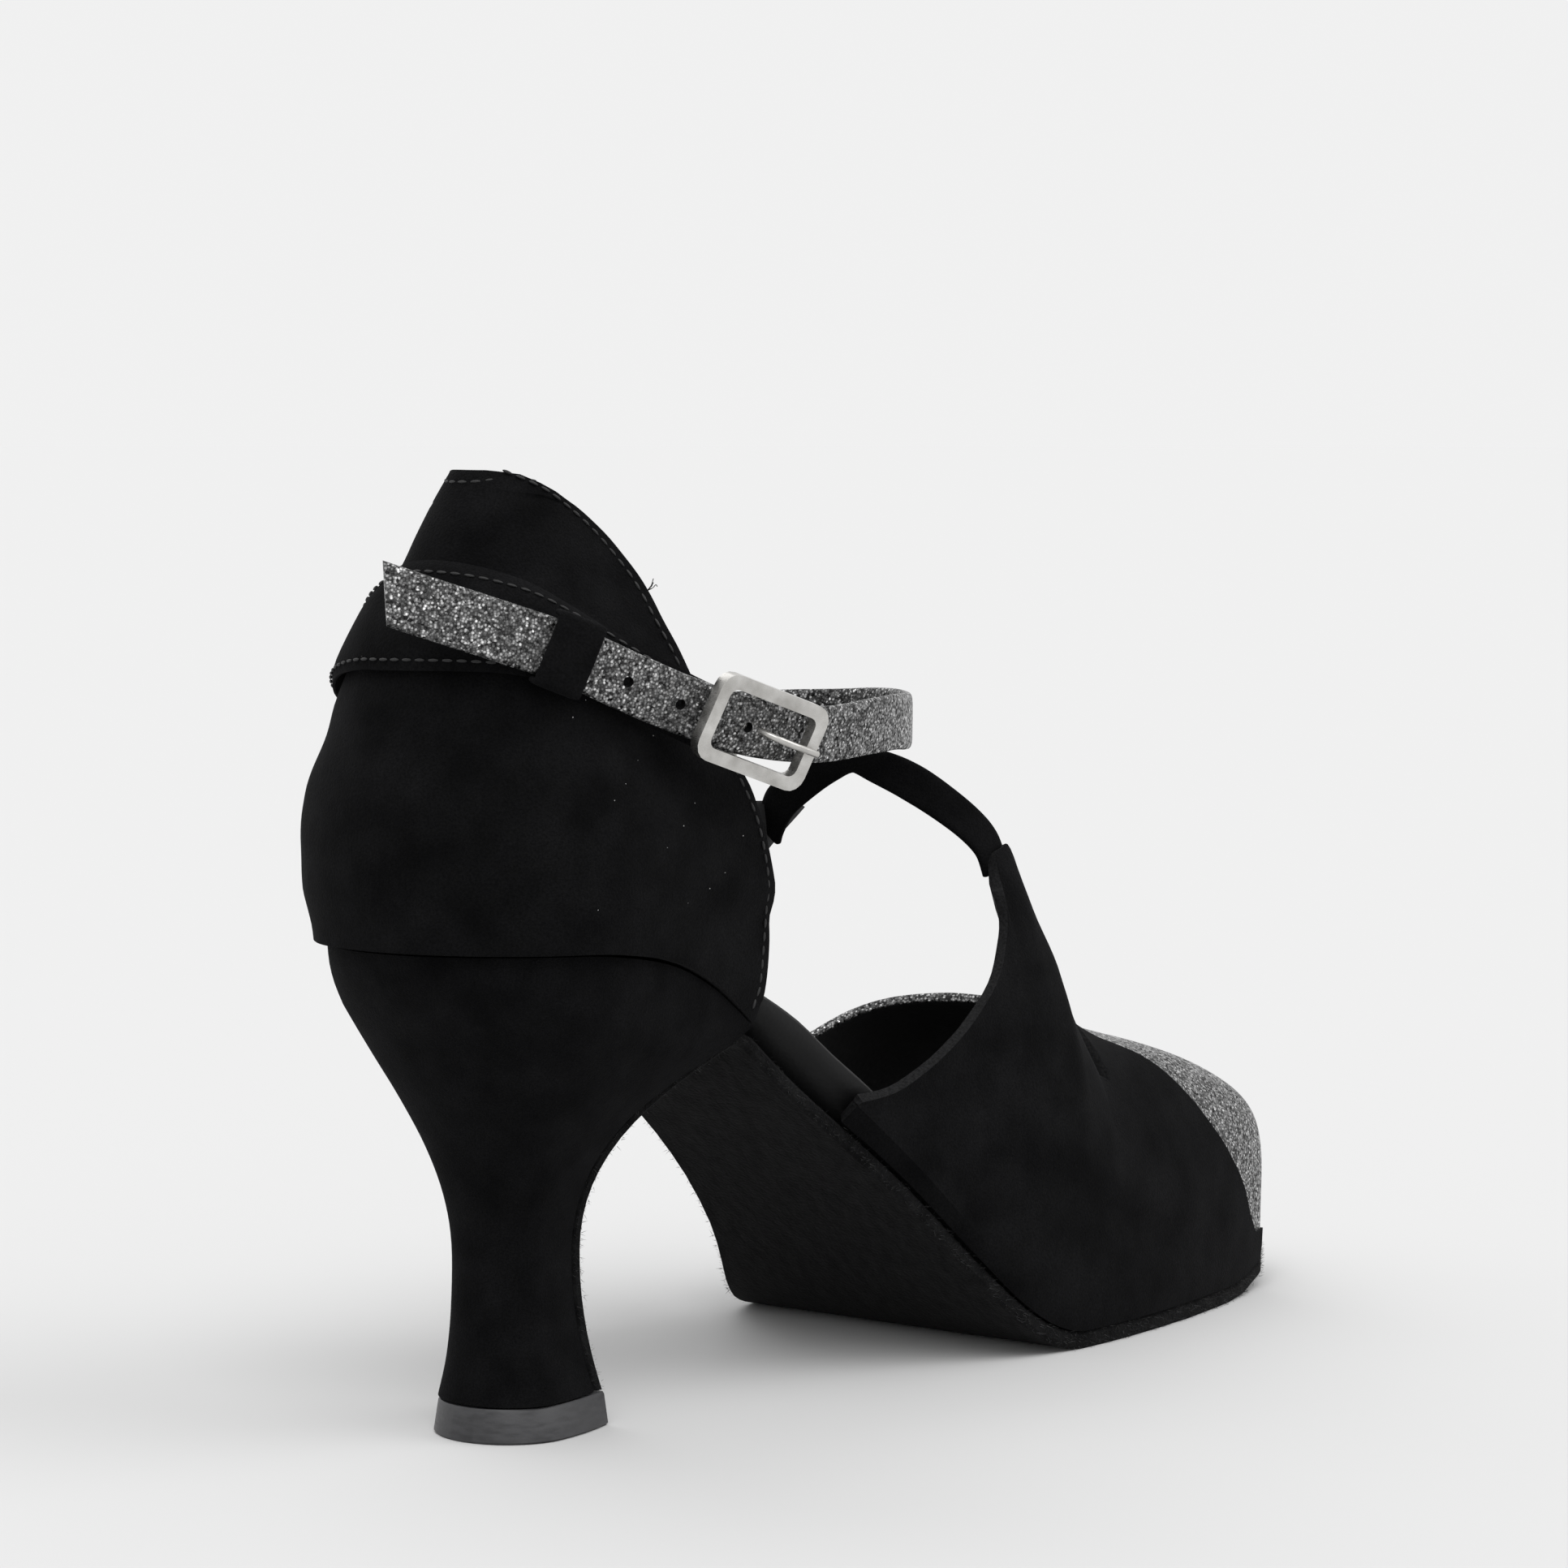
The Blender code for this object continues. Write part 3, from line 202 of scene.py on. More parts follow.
# Quarter sections: rise as a share of COLLAR_RISE above the heel height,
# centre, back reach and half-width as shares of HALF_WIDTH.
QUARTER = table("rise centre back half", [
    (-0.280, -0.100, 0.660, 0.612),
    (-0.140, -0.100, 0.670, 0.670),
    (0.000, -0.100, 0.683, 0.695),
    (0.100, -0.100, 0.714, 0.742),
    (0.200, -0.100, 0.717, 0.745),
    (0.300, -0.100, 0.707, 0.715),
    (0.400, -0.080, 0.674, 0.655),
    (0.500, -0.062, 0.640, 0.595),
    (0.600, -0.038, 0.596, 0.532),
    (0.700, -0.005, 0.545, 0.445),
    (0.800, 0.032, 0.478, 0.355),
    (0.900, 0.070, 0.415, 0.290),
    (1.000, 0.110, 0.340, 0.225),
])

# Front edges of the quarter. lift runs from 0 at the sole to 1 at the collar,
# the edges are shares of LAST_LENGTH, the first rows of the inner side join the wing.
COLLAR = table("lift outer inner", [
    (0.000, 0.165, 0.100),
    (0.035, 0.168, 0.100),
    (0.080, 0.172, 0.100),
    (0.160, 0.173, 0.100),
    (0.230, 0.170, 0.100),
    (0.300, 0.161, 0.100),
    (0.380, 0.147, 0.100),
    (0.440, 0.133, 0.100),
    (0.500, 0.116, 0.100),
    (0.570, 0.102, 0.086),
    (0.640, 0.092, 0.076),
    (0.720, 0.083, 0.068),
    (0.790, 0.076, 0.060),
    (0.850, 0.061, 0.045),
    (0.930, 0.030, 0.016),
    (0.975, 0.003, -0.004),
    (1.000, -0.024, -0.030),
])
WING_ROWS = 9

# Inner wing: its front edge from the waist to the tab, one row for each quarter row,
# and its topline from the quarter to the tab. y in HALF_WIDTH, rise in COLLAR_RISE.
WING_FRONT = table("x y rise", [
    (0.292, 0.608, -0.455),
    (0.322, 0.635, -0.400),
    (0.352, 0.648, -0.330),
    (0.382, 0.642, -0.240),
    (0.410, 0.625, -0.125),
    (0.435, 0.588, -0.020),
    (0.460, 0.540, 0.080),
    (0.488, 0.455, 0.180),
])
WING_TOP = table("x y rise", [
    (0.100, 0.640, 0.445),
    (0.150, 0.672, 0.310),
    (0.225, 0.675, 0.208),
    (0.300, 0.650, 0.167),
    (0.375, 0.588, 0.167),
    (0.430, 0.510, 0.192),
    (0.488, 0.455, 0.180),
])

# Vamp: ridge height in INSTEP_HEIGHT, fullness of the two sides as exponents.
RIDGE = table("x z outer inner", [
    (0.430, 1.600, 2.3, 2.1),
    (0.500, 1.450, 2.3, 2.1),
    (0.575, 1.183, 2.3, 2.1),
    (0.650, 0.975, 2.4, 2.3),
    (0.700, 0.883, 2.6, 2.4),
    (0.750, 0.833, 2.8, 2.6),
    (0.800, 0.790, 3.1, 2.9),
    (0.850, 0.737, 3.5, 3.3),
    (0.900, 0.665, 4.0, 3.8),
    (0.950, 0.575, 4.5, 4.3),
])
# Throat and toe edge of the vamp round the girth: 0 at the outer sole, 1 at the inner.
VAMP_ENDS = table("girth throat toe", [
    (0.000, 0.6475, 0.905),
    (0.100, 0.6475, 0.922),
    (0.234, 0.6475, 0.932),
    (0.300, 0.6500, 0.936),
    (0.364, 0.6550, 0.939),
    (0.460, 0.6620, 0.943),
    (0.500, 0.6620, 0.944),
    (0.576, 0.6510, 0.944),
    (0.616, 0.6410, 0.943),
    (0.741, 0.5930, 0.937),
    (0.850, 0.5280, 0.925),
    (0.909, 0.4900, 0.918),
    (1.000, 0.4450, 0.908),
])
# Edge of the suede side panel round the girth.
PANEL = table("x girth", [
    (0.640, 0.364),
    (0.690, 0.360),
    (0.730, 0.345),
    (0.750, 0.315),
    (0.770, 0.258),
    (0.795, 0.185),
    (0.822, 0.120),
    (0.851, 0.058),
    (0.868, 0.018),
    (0.885, 0.004),
    (0.950, 0.001),
])
PANEL_SHARES = (0.0, 0.16, 0.32, 0.48, 0.643, 0.82, 1.0)
NOTCH_ROW = 4

# Outer wing: foot of each rib on the sole, and its top edge.
RIBS = table("foot x y rise", [
    (0.285, 0.290, -0.645, -0.440),
    (0.315, 0.335, -0.695, -0.418),
    (0.350, 0.403, -0.725, -0.324),
    (0.390, 0.462, -0.700, -0.208),
    (0.425, 0.491, -0.650, -0.103),
    (0.465, 0.502, -0.600, -0.020),
    (0.500, 0.506, -0.530, 0.072),
    (0.515, 0.520, -0.512, 0.092),
    (0.530, 0.537, -0.500, 0.088),
    (0.550, 0.550, -0.575, -0.058),
    (0.573, 0.573, -0.625, -0.199),
    (0.595, 0.590, -0.650, -0.329),
    (0.625, 0.630, -0.650, -0.478),
])

# Instep strap: middle line and the lean of its width from upright, in degrees.
INSTEP_STRAP = table("x y rise lean", [
    (0.5200, -0.490, 0.045, 62),
    (0.5080, -0.488, 0.105, 50),
    (0.4850, -0.470, 0.160, 35),
    (0.4550, -0.410, 0.222, 12),
    (0.4350, -0.325, 0.267, -8),
    (0.4220, -0.225, 0.296, -22),
    (0.4150, -0.100, 0.318, -30),
    (0.4220, 0.050, 0.290, -30),
    (0.4290, 0.225, 0.238, -28),
    (0.4370, 0.350, 0.195, -24),
    (0.4480, 0.440, 0.150, -20),
    (0.4560, 0.490, 0.115, -18),
])

# Ankle strap from its seat on the inner quarter round the front to the tail's tip.
ANKLE_STRAP = table("x y rise lean", [
    (0.060, 0.712, 0.415, 0),
    (0.100, 0.722, 0.408, 0),
    (0.140, 0.742, 0.398, 0),
    (0.210, 0.765, 0.389, 0),
    (0.270, 0.712, 0.389, 0),
    (0.330, 0.600, 0.393, 0),
    (0.380, 0.425, 0.400, 0),
    (0.410, 0.225, 0.406, 0),
    (0.429, 0.000, 0.410, 0),
    (0.423, -0.200, 0.417, 0),
    (0.400, -0.412, 0.421, 0),
    (0.365, -0.600, 0.421, 0),
    (0.330, -0.725, 0.424, 2),
    (0.290, -0.825, 0.431, 4),
    (0.230, -0.925, 0.431, 8),
    (0.155, -0.957, 0.424, 12),
    (0.080, -0.920, 0.448, 15),
    (0.022, -0.820, 0.501, 15),
    (-0.020, -0.728, 0.552, 10),
    (-0.067, -0.612, 0.616, 6),
    (-0.113, -0.474, 0.667, 3),
    (-0.152, -0.322, 0.712, 1),
    (-0.185, -0.165, 0.755, 0),
])
KEEPER_STATION = 19

# Heel band: bearing round the quarter in degrees, 0 at the back, inner side positive.
# middle and width as shares of COLLAR_RISE.
BAND = table("bearing middle width", [
    (90, 0.505, 0.160),
    (75, 0.560, 0.165),
    (60, 0.600, 0.175),
    (45, 0.640, 0.190),
    (30, 0.668, 0.205),
    (15, 0.688, 0.222),
    (0, 0.694, 0.230),
    (-15, 0.694, 0.228),
    (-30, 0.690, 0.220),
    (-45, 0.680, 0.208),
    (-60, 0.660, 0.198),
    (-75, 0.625, 0.185),
    (-90, 0.585, 0.172),
])
BAND_TAIL = table("x y middle width", [
    (0.020, -0.640, 0.535, 0.163),
    (0.050, -0.730, 0.487, 0.156),
    (0.072, -0.780, 0.458, 0.152),
])
BAND_INNER_END = 0.045
BAND_INNER_DROP = 0.03
BAND_TAIL_START = -0.540


# Reading the tables
def read(columns, name, at, key="x"):
    """Smooth value of a column, without overshoot between its rows."""
    xs, ys = columns[key], columns[name]
    if at <= xs[0]:
        return ys[0]
    if at >= xs[-1]:
        return ys[-1]
    steps = [(ys[i + 1] - ys[i]) / (xs[i + 1] - xs[i]) for i in range(len(xs) - 1)]
    i = max(k for k in range(len(steps)) if xs[k] <= at)

    def slope(k):
        if k == 0 or k == len(steps):
            return steps[min(k, len(steps) - 1)]
        before, after = steps[k - 1], steps[k]
        return 0.0 if before * after <= 0 else 2 * before * after / (before + after)

    span = xs[i + 1] - xs[i]
    t = (at - xs[i]) / span
    a, b = slope(i) * span, slope(i + 1) * span
    return (ys[i] * (2 * t ** 3 - 3 * t ** 2 + 1) + a * (t ** 3 - 2 * t ** 2 + t)
            + ys[i + 1] * (3 * t ** 2 - 2 * t ** 3) + b * (t ** 3 - t ** 2))


def rise(share):
    return HEEL_HEIGHT + share * COLLAR_RISE


def catmull(points, pieces):
    """Points along a smooth curve through the given ones."""
    out = []
    for i in range(len(points) - 1):
        before = points[max(i - 1, 0)]
        start, end = points[i], points[i + 1]
        after = points[min(i + 2, len(points) - 1)]
        for k in range(pieces):
            t = k / pieces
            a, b = (end - before) / 2, (after - start) / 2
            out.append(start * (2 * t ** 3 - 3 * t ** 2 + 1) + a * (t ** 3 - 2 * t ** 2 + t)
                       + end * (3 * t ** 2 - 2 * t ** 3) + b * (t ** 3 - t ** 2))
    return out + [points[-1]]


def grid_faces(rows, columns, start=0, turned=False):
    faces = []
    for i in range(rows - 1):
        for j in range(columns - 1):
            a = start + i * columns + j
            b, c, d = a + 1, a + columns + 1, a + columns
            faces.append((a, b, c, d) if turned else (a, d, c, b))
    return faces


# Sole path
def sole_path():
    """Stations of the underside with their inward normals, thickness and half-widths."""
    rows = [Vector((x * LAST_LENGTH, z * HEEL_HEIGHT, out * HALF_WIDTH, inn * HALF_WIDTH))
            for x, z, out, inn in zip(*(SOLE[k] for k in ("x", "z", "outer", "inner")))]
    rows[0][1] = LIFT_THICK + FIT
    points = catmull(rows[:WAIST_END + 1], 2) + rows[WAIST_END + 1:]
    stations = []
    for i, p in enumerate(points):
        before, after = points[max(i - 1, 0)], points[min(i + 1, len(points) - 1)]
        along = Vector((after.x - before.x, after.y - before.y)).normalized()
        normal = Vector((-along.y, along.x)) if i else Vector((-1, 0))
        if i <= 2 * SEAT_END:
            thick = FLAP_THICK
        else:
            run = min((i - 2 * SEAT_END) / (2 * (WAIST_END - SEAT_END)), 1)
            thick = WAIST_THICK + (SOLE_THICK - WAIST_THICK) * run
        stations.append((p, normal, thick))
    return stations


PATH = sole_path()


def polyline(points, at):
    """Second coordinate of a rising polyline at a value of its first."""
    for a, b in zip(points, points[1:]):
        if a[0] <= at <= b[0]:
            return a[1] + (b[1] - a[1]) * (at - a[0]) / max(b[0] - a[0], 1e-9)
    return points[0][1] if at < points[0][0] else points[-1][1]


SOLE_TOP = [(p.x + n.x * t, p.y + n.y * t) for p, n, t in PATH[2 * SEAT_END:]]
BREAST = [(p.y + n.y * (t + FIT), p.x + n.x * (t + FIT)) for p, n, t in PATH[:2 * SEAT_END + 1]]


def seat_height(x):
    return read(SEAT, "z", x / LAST_LENGTH) * HEEL_HEIGHT


def foot_height(x):
    """Where the upper and the insole stand: the heel seat, then the top of the sole."""
    join = SEAT["x"][-1] * LAST_LENGTH
    return (seat_height(x) if x < join else polyline(SOLE_TOP, x)) + FIT / 2


def sole_half(side, x):
    rows = [(p.x, p.z if side < 0 else p.w) for p, _, _ in PATH[2 * SEAT_END:]]
    return polyline(rows, x)


def edge_half(side, x):
    return read(EDGE, "outer" if side < 0 else "inner", x / LAST_LENGTH) * HALF_WIDTH


def tuck_half(side, x):
    """Half-width of the upper's foot, drawn in under the waist."""
    edge = edge_half(side, x) - FIT
    if x < SEAT["x"][-1] * LAST_LENGTH:
        return edge
    return min(edge, sole_half(side, x) - FIT)


def insole_half(side, x):
    heel_centre = QUARTER["centre"][2] * HALF_WIDTH
    room = UPPER_WALL + 2 * FIT
    if x < heel_centre:
        reach = QUARTER["back"][2] * HALF_WIDTH - room
        wide = edge_half(side, 0.0) - room
        return wide * math.sqrt(max(1 - ((x - heel_centre) / reach) ** 2, 0.0))
    toe_start = VAMP_ENDS["toe"][0] * LAST_LENGTH
    half = edge_half(side, x) - room
    return min(half, sole_half(side, x) - INSOLE_TOE_MARGIN) if x > toe_start else half


def heel_ring(back, front, middle, breast, height):
    """D-shaped ring, round behind and flat at the breast; height is a function of x."""
    centre = back + HEEL_WIDEST * (front - back)
    half = []
    for k in range(24):
        a = math.radians(90 * (k + 0.4) / 23.4)
        half.append((centre - (centre - back) * math.cos(a), middle * math.sin(a)))
    for k in range(1, 11):
        t = k / 10
        half.append((centre + (front - centre) * t, middle + (breast - middle) * t * t))
    outer = [Vector((x, -y, height(x))) for x, y in half]
    return outer + [Vector((x, y, height(x))) for x, y in reversed(half)]


# Quarter
def quarter_section(z):
    share = (z - HEEL_HEIGHT) / COLLAR_RISE
    return [read(QUARTER, name, share, "rise") * HALF_WIDTH for name in ("centre", "back", "half")]


def quarter_side(x, z, side):
    """Point of the quarter's side, forward of its centre."""
    centre, _, half = quarter_section(z)
    ahead = max(x - centre, 0.0) / (COLLAR["outer"][2] * LAST_LENGTH)
    return Vector((x, side * half * (1 - SIDE_TAPER * ahead ** 2), z))


def quarter_back(bearing, z):
    centre, back, half = quarter_section(z)
    return Vector((centre - back * math.cos(bearing), half * math.sin(bearing), z))


def lifted(x, lift):
    """Height at a share of the way from the sole to the collar's edge."""
    low = foot_height(x)
    crown = (QUARTER["centre"][-1] - QUARTER["back"][-1]) * HALF_WIDTH
    ahead = (x - crown) / CROWN_RUN
    top = rise(1.0) - CROWN_FALL * min(max(ahead, 0.0), 1.0)
    return low + (top - low) * lift


def coons(bottom, top, left, right):
    """Rows of a patch between four edges of points, from the bottom to the top."""
    rows, columns = len(left), len(bottom)
    out = []
    for i in range(rows):
        v = i / (rows - 1)
        line = []
        for j in range(columns):
            u = j / (columns - 1)
            corner = ((1 - u) * (1 - v) * bottom[0] + u * (1 - v) * bottom[-1]
                      + (1 - u) * v * top[0] + u * v * top[-1])
            line.append((1 - v) * bottom[j] + v * top[j]
                        + (1 - u) * left[i] + u * right[i] - corner)
        out.append(line)
    return out


def resample(points, count):
    lengths = [0.0]
    for a, b in zip(points, points[1:]):
        lengths.append(lengths[-1] + (b - a).length)
    out = []
    for k in range(count):
        want = lengths[-1] * k / (count - 1)
        i = max(n for n in range(len(points) - 1) if lengths[n] <= want + 1e-9)
        t = (want - lengths[i]) / max(lengths[i + 1] - lengths[i], 1e-9)
        out.append(points[i].lerp(points[i + 1], min(t, 1.0)))
    return out


# Vamp
def vamp_point(x, girth):
    """Point of the vamp: girth 0 at the outer sole, a half on the ridge, 1 at the inner sole."""
    side = -1 if girth < 0.5 else 1
    low = foot_height(x) + FEATHER
    top = read(RIDGE, "z", x / LAST_LENGTH) * INSTEP_HEIGHT
    power = 2 / read(RIDGE, "outer" if side < 0 else "inner", x / LAST_LENGTH)
    angle = math.pi * (girth if side < 0 else 1 - girth)
    across = max(math.cos(angle), 0.0) ** power
    return Vector((x, side * edge_half(side, x) * across,
                   low + (top - low) * math.sin(angle) ** power))


def raised(point, x, girth):
    """The point moved out of the surface by the step of the side panel."""
    small = 0.01
    along = vamp_point(x + small * HALF_WIDTH, girth) - point
    around = vamp_point(x, girth + small) - point
    normal = along.cross(around)
    return point + normal.normalized() * PANEL_STEP if normal.length else point


# Node helpers
class Shades:
    """Short way to lay out a material's nodes."""

    def __init__(self, name, colour, roughness, metallic=0.0):
        self.material = bpy.data.materials.new(name)
        self.material.use_nodes = True
        self.tree = self.material.node_tree
        self.shader = self.tree.nodes["Principled BSDF"]
        self.shader.inputs["Base Color"].default_value = (*colour, 1)
        self.shader.inputs["Roughness"].default_value = roughness
        self.shader.inputs["Metallic"].default_value = metallic
        self.place = self.add("ShaderNodeTexCoord").outputs["Object"]

    def add(self, kind, **values):
        node = self.tree.nodes.new(kind)
        for name, value in values.items():
            setattr(node, name, value)
        return node

    def link(self, start, end):
        self.tree.links.new(start, end)

    def cloud(self, scale, detail=2.0, stretch=None):
        """Soft noise of a grain in metres."""
        node = self.add("ShaderNodeTexNoise")
        node.inputs["Scale"].default_value = 1 / scale
        node.inputs["Detail"].default_value = detail
        if stretch:
            mapping = self.add("ShaderNodeMapping")
            mapping.inputs["Scale"].default_value = stretch
            self.link(self.place, mapping.inputs["Vector"])
            self.link(mapping.outputs["Vector"], node.inputs["Vector"])
        else:
            self.link(self.place, node.inputs["Vector"])
        return node.outputs["Fac"]

    def ramp(self, value, stops):
        node = self.add("ShaderNodeValToRGB")
        elements = node.color_ramp.elements
        while len(elements) < len(stops):
            elements.new(0.5)
        for element, (at, shade) in zip(elements, stops):
            element.position = at
            element.color = (*shade, 1) if isinstance(shade, tuple) else (shade, shade, shade, 1)
        self.link(value, node.inputs["Fac"])
        return node.outputs["Color"]

    def blend(self, kind, first, second, share=1.0):
        node = self.add("ShaderNodeMix", data_type="RGBA", blend_type=kind)
        for socket, value in ((node.inputs[0], share), (node.inputs[6], first),
                              (node.inputs[7], second)):
            if isinstance(value, (int, float)):
                socket.default_value = value
            elif isinstance(value, tuple):
                socket.default_value = (*value, 1)
            else:
                self.link(value, socket)
        return node.outputs[2]

    def bump(self, height, distance, strength=1.0, below=None):
        node = self.add("ShaderNodeBump")
        node.inputs["Distance"].default_value = distance
        node.inputs["Strength"].default_value = strength
        self.link(height, node.inputs["Height"])
        if below:
            self.link(below, node.inputs["Normal"])
        return node.outputs["Normal"]


def suede(name, dark, light, nap=0.0011, sheen=0.012):
    """Napped leather: cloudy strokes of light and dark nap over a fine fibrous grain."""
    s = Shades(name, dark, 0.95)
    strokes = s.cloud(nap * 9, 4.0)
    grain = s.cloud(nap * 0.35, 3.0)
    tone = s.ramp(strokes, [(0.32, dark), (0.72, light)])
    fibre = s.ramp(grain, [(0.25, 0.55), (0.75, 1.35)])
    s.link(s.blend("MULTIPLY", tone, fibre), s.shader.inputs["Base Color"])
    low = s.bump(s.cloud(nap * 3.5, 2.0), 0.0003, 0.5)
    s.link(s.bump(grain, 0.00025, 0.8, low), s.shader.inputs["Normal"])
    s.shader.inputs["Specular IOR Level"].default_value = 0.05
    s.shader.inputs["Sheen Weight"].default_value = sheen
    s.shader.inputs["Sheen Roughness"].default_value = 0.45
    s.shader.inputs["Sheen Tint"].default_value = (0.75, 0.75, 0.80, 1)
    return s.material


def glitter(name):
    """Dark cloth strewn with small metal flakes, each tilted its own way."""
    s = Shades(name, (0.12, 0.12, 0.125), 0.35, 0.0)
    flakes = s.add("ShaderNodeTexVoronoi")
    flakes.inputs["Scale"].default_value = 1 / 0.00040
    s.link(s.place, flakes.inputs["Vector"])
    split = s.add("ShaderNodeSeparateColor")
    s.link(flakes.outputs["Color"], split.inputs["Color"])
    tone = s.ramp(split.outputs["Red"], [(0.0, 0.03), (0.35, 0.10), (0.70, 0.26), (0.90, 0.55),
                                         (1.0, 0.9)])
    rim = s.ramp(flakes.outputs["Distance"], [(0.35, 1.0), (0.62, 0.25)])
    s.link(s.blend("MULTIPLY", tone, rim), s.shader.inputs["Base Color"])
    metal = s.ramp(split.outputs["Green"], [(0.25, 0.15), (0.7, 0.95)])
    s.link(metal, s.shader.inputs["Metallic"])
    shine = s.ramp(split.outputs["Blue"], [(0.0, 0.22), (1.0, 0.5)])
    s.link(shine, s.shader.inputs["Roughness"])
    normal = s.add("ShaderNodeNewGeometry").outputs["Normal"]
    shift = s.add("ShaderNodeVectorMath", operation="SUBTRACT")
    s.link(flakes.outputs["Color"], shift.inputs[0])
    shift.inputs[1].default_value = (0.5, 0.5, 0.5)
    scaled = s.add("ShaderNodeVectorMath", operation="SCALE")
    s.link(shift.outputs[0], scaled.inputs[0])
    scaled.inputs["Scale"].default_value = 1.1
    tilted = s.add("ShaderNodeVectorMath", operation="ADD")
    s.link(normal, tilted.inputs[0])
    s.link(scaled.outputs[0], tilted.inputs[1])
    unit = s.add("ShaderNodeVectorMath", operation="NORMALIZE")
    s.link(tilted.outputs[0], unit.inputs[0])
    s.link(unit.outputs[0], s.shader.inputs["Normal"])
    return s.material


def lining_leather(name, colour, gloss=0.5):
    s = Shades(name, colour, 0.62)
    s.shader.inputs["Specular IOR Level"].default_value = gloss
    grain = s.add("ShaderNodeTexVoronoi")
    grain.inputs["Scale"].default_value = 1 / 0.0009
    s.link(s.place, grain.inputs["Vector"])
    tone = s.ramp(s.cloud(0.012, 3.0), [(0.3, tuple(0.75 * c for c in colour)), (0.7, colour)])
    s.link(tone, s.shader.inputs["Base Color"])
    s.link(s.bump(grain.outputs["Distance"], 0.0001, 0.5), s.shader.inputs["Normal"])
    return s.material


def cut_edge(name, colour):
    """Raw cut edge of leather: layered and a little furry."""
    s = Shades(name, colour, 0.9)
    s.shader.inputs["Specular IOR Level"].default_value = 0.1
    fibres = s.cloud(0.0005, 3.0)
    s.link(s.ramp(fibres, [(0.3, tuple(0.5 * c for c in colour)),
                           (0.75, tuple(1.5 * c for c in colour))]), s.shader.inputs["Base Color"])
    s.link(s.bump(fibres, 0.0003, 0.8), s.shader.inputs["Normal"])
    return s.material


def sole_leather(name):
    """Brushed sole suede, streaked by wear."""
    s = Shades(name, (0.004, 0.004, 0.004), 0.95)
    strokes = s.cloud(0.004, 5.0, (1.0, 2.2, 1.0))
    tone = s.ramp(strokes, [(0.3, (0.0028, 0.0028, 0.0030)), (0.75, (0.0095, 0.0095, 0.0098))])
    fibre = s.ramp(s.cloud(0.0005, 3.0), [(0.25, 0.6), (0.75, 1.4)])
    s.link(s.blend("MULTIPLY", tone, fibre), s.shader.inputs["Base Color"])
    s.link(s.bump(s.cloud(0.0006, 3.0), 0.0003, 0.9), s.shader.inputs["Normal"])
    s.shader.inputs["Sheen Weight"].default_value = 0.015
    s.shader.inputs["Specular IOR Level"].default_value = 0.06
    return s.material


def satin_rubber(name):
    s = Shades(name, (0.028, 0.028, 0.030), 0.42)
    marks = s.cloud(0.003, 4.0, (1.0, 1.0, 4.0))
    s.link(s.ramp(marks, [(0.35, (0.02, 0.02, 0.022)), (0.75, (0.045, 0.045, 0.048))]),
           s.shader.inputs["Base Color"])
    s.link(s.ramp(marks, [(0.3, 0.35), (0.7, 0.6)]), s.shader.inputs["Roughness"])
    s.link(s.bump(s.cloud(0.0008, 2.0), 0.00006, 0.6), s.shader.inputs["Normal"])
    return s.material


def nickel(name):
    s = Shades(name, (0.58, 0.57, 0.55), 0.28, 1.0)
    brush = s.cloud(0.0006, 3.0, (1.0, 1.0, 9.0))
    s.link(s.ramp(brush, [(0.3, 0.22), (0.7, 0.42)]), s.shader.inputs["Roughness"])
    s.link(s.ramp(s.cloud(0.004, 3.0), [(0.3, (0.42, 0.41, 0.39)), (0.7, (0.66, 0.65, 0.63))]),
           s.shader.inputs["Base Color"])
    s.link(s.bump(brush, 0.00003, 0.6), s.shader.inputs["Normal"])
    return s.material


def thread(name, colour):
    s = Shades(name, colour, 0.6)
    twist = s.cloud(0.0003, 2.0)
    s.link(s.bump(twist, 0.0001, 0.7), s.shader.inputs["Normal"])
    s.link(s.ramp(twist, [(0.3, tuple(0.6 * c for c in colour)), (0.7, colour)]),
           s.shader.inputs["Base Color"])
    return s.material


BLACK_SUEDE = suede("black_suede", (0.0022, 0.0022, 0.0024), (0.0062, 0.0062, 0.0066))
HEEL_SUEDE = suede("heel_suede", (0.0020, 0.0020, 0.0022), (0.0056, 0.0056, 0.0060), 0.0009)
GLITTER = glitter("glitter_cloth")
GREY_LINING = lining_leather("grey_lining", (0.030, 0.030, 0.031))
DARK_LINING = lining_leather("dark_lining", (0.009, 0.009, 0.0095))
SOCK = lining_leather("sock_lining", (0.0042, 0.0042, 0.0044), 0.2)
RAW_EDGE = cut_edge("raw_edge", (0.011, 0.011, 0.0115))
DARK_EDGE = cut_edge("dark_edge", (0.006, 0.006, 0.0063))
SOLE_SUEDE = sole_leather("sole_suede")
LIFT = satin_rubber("lift_rubber")
NICKEL = nickel("nickel")
THREAD = thread("black_thread", (0.0062, 0.0062, 0.0066))
FIBRE = thread("suede_fibre", (0.016, 0.016, 0.017))
DUST = thread("pale_dust", (0.55, 0.55, 0.55))


# Making pieces
def mesh_piece(name, verts, faces, materials):
    mesh = bpy.data.meshes.new(name)
    mesh.from_pydata([tuple(v) for v in verts], [], faces)
    body = bmesh.new()
    body.from_mesh(mesh)
    bmesh.ops.remove_doubles(body, verts=body.verts, dist=0.000002)
    body.to_mesh(mesh)
    body.free()
    for material in materials:
        mesh.materials.append(material)
    obj = bpy.data.objects.new(name, mesh)
    bpy.context.scene.collection.objects.link(obj)
    return obj


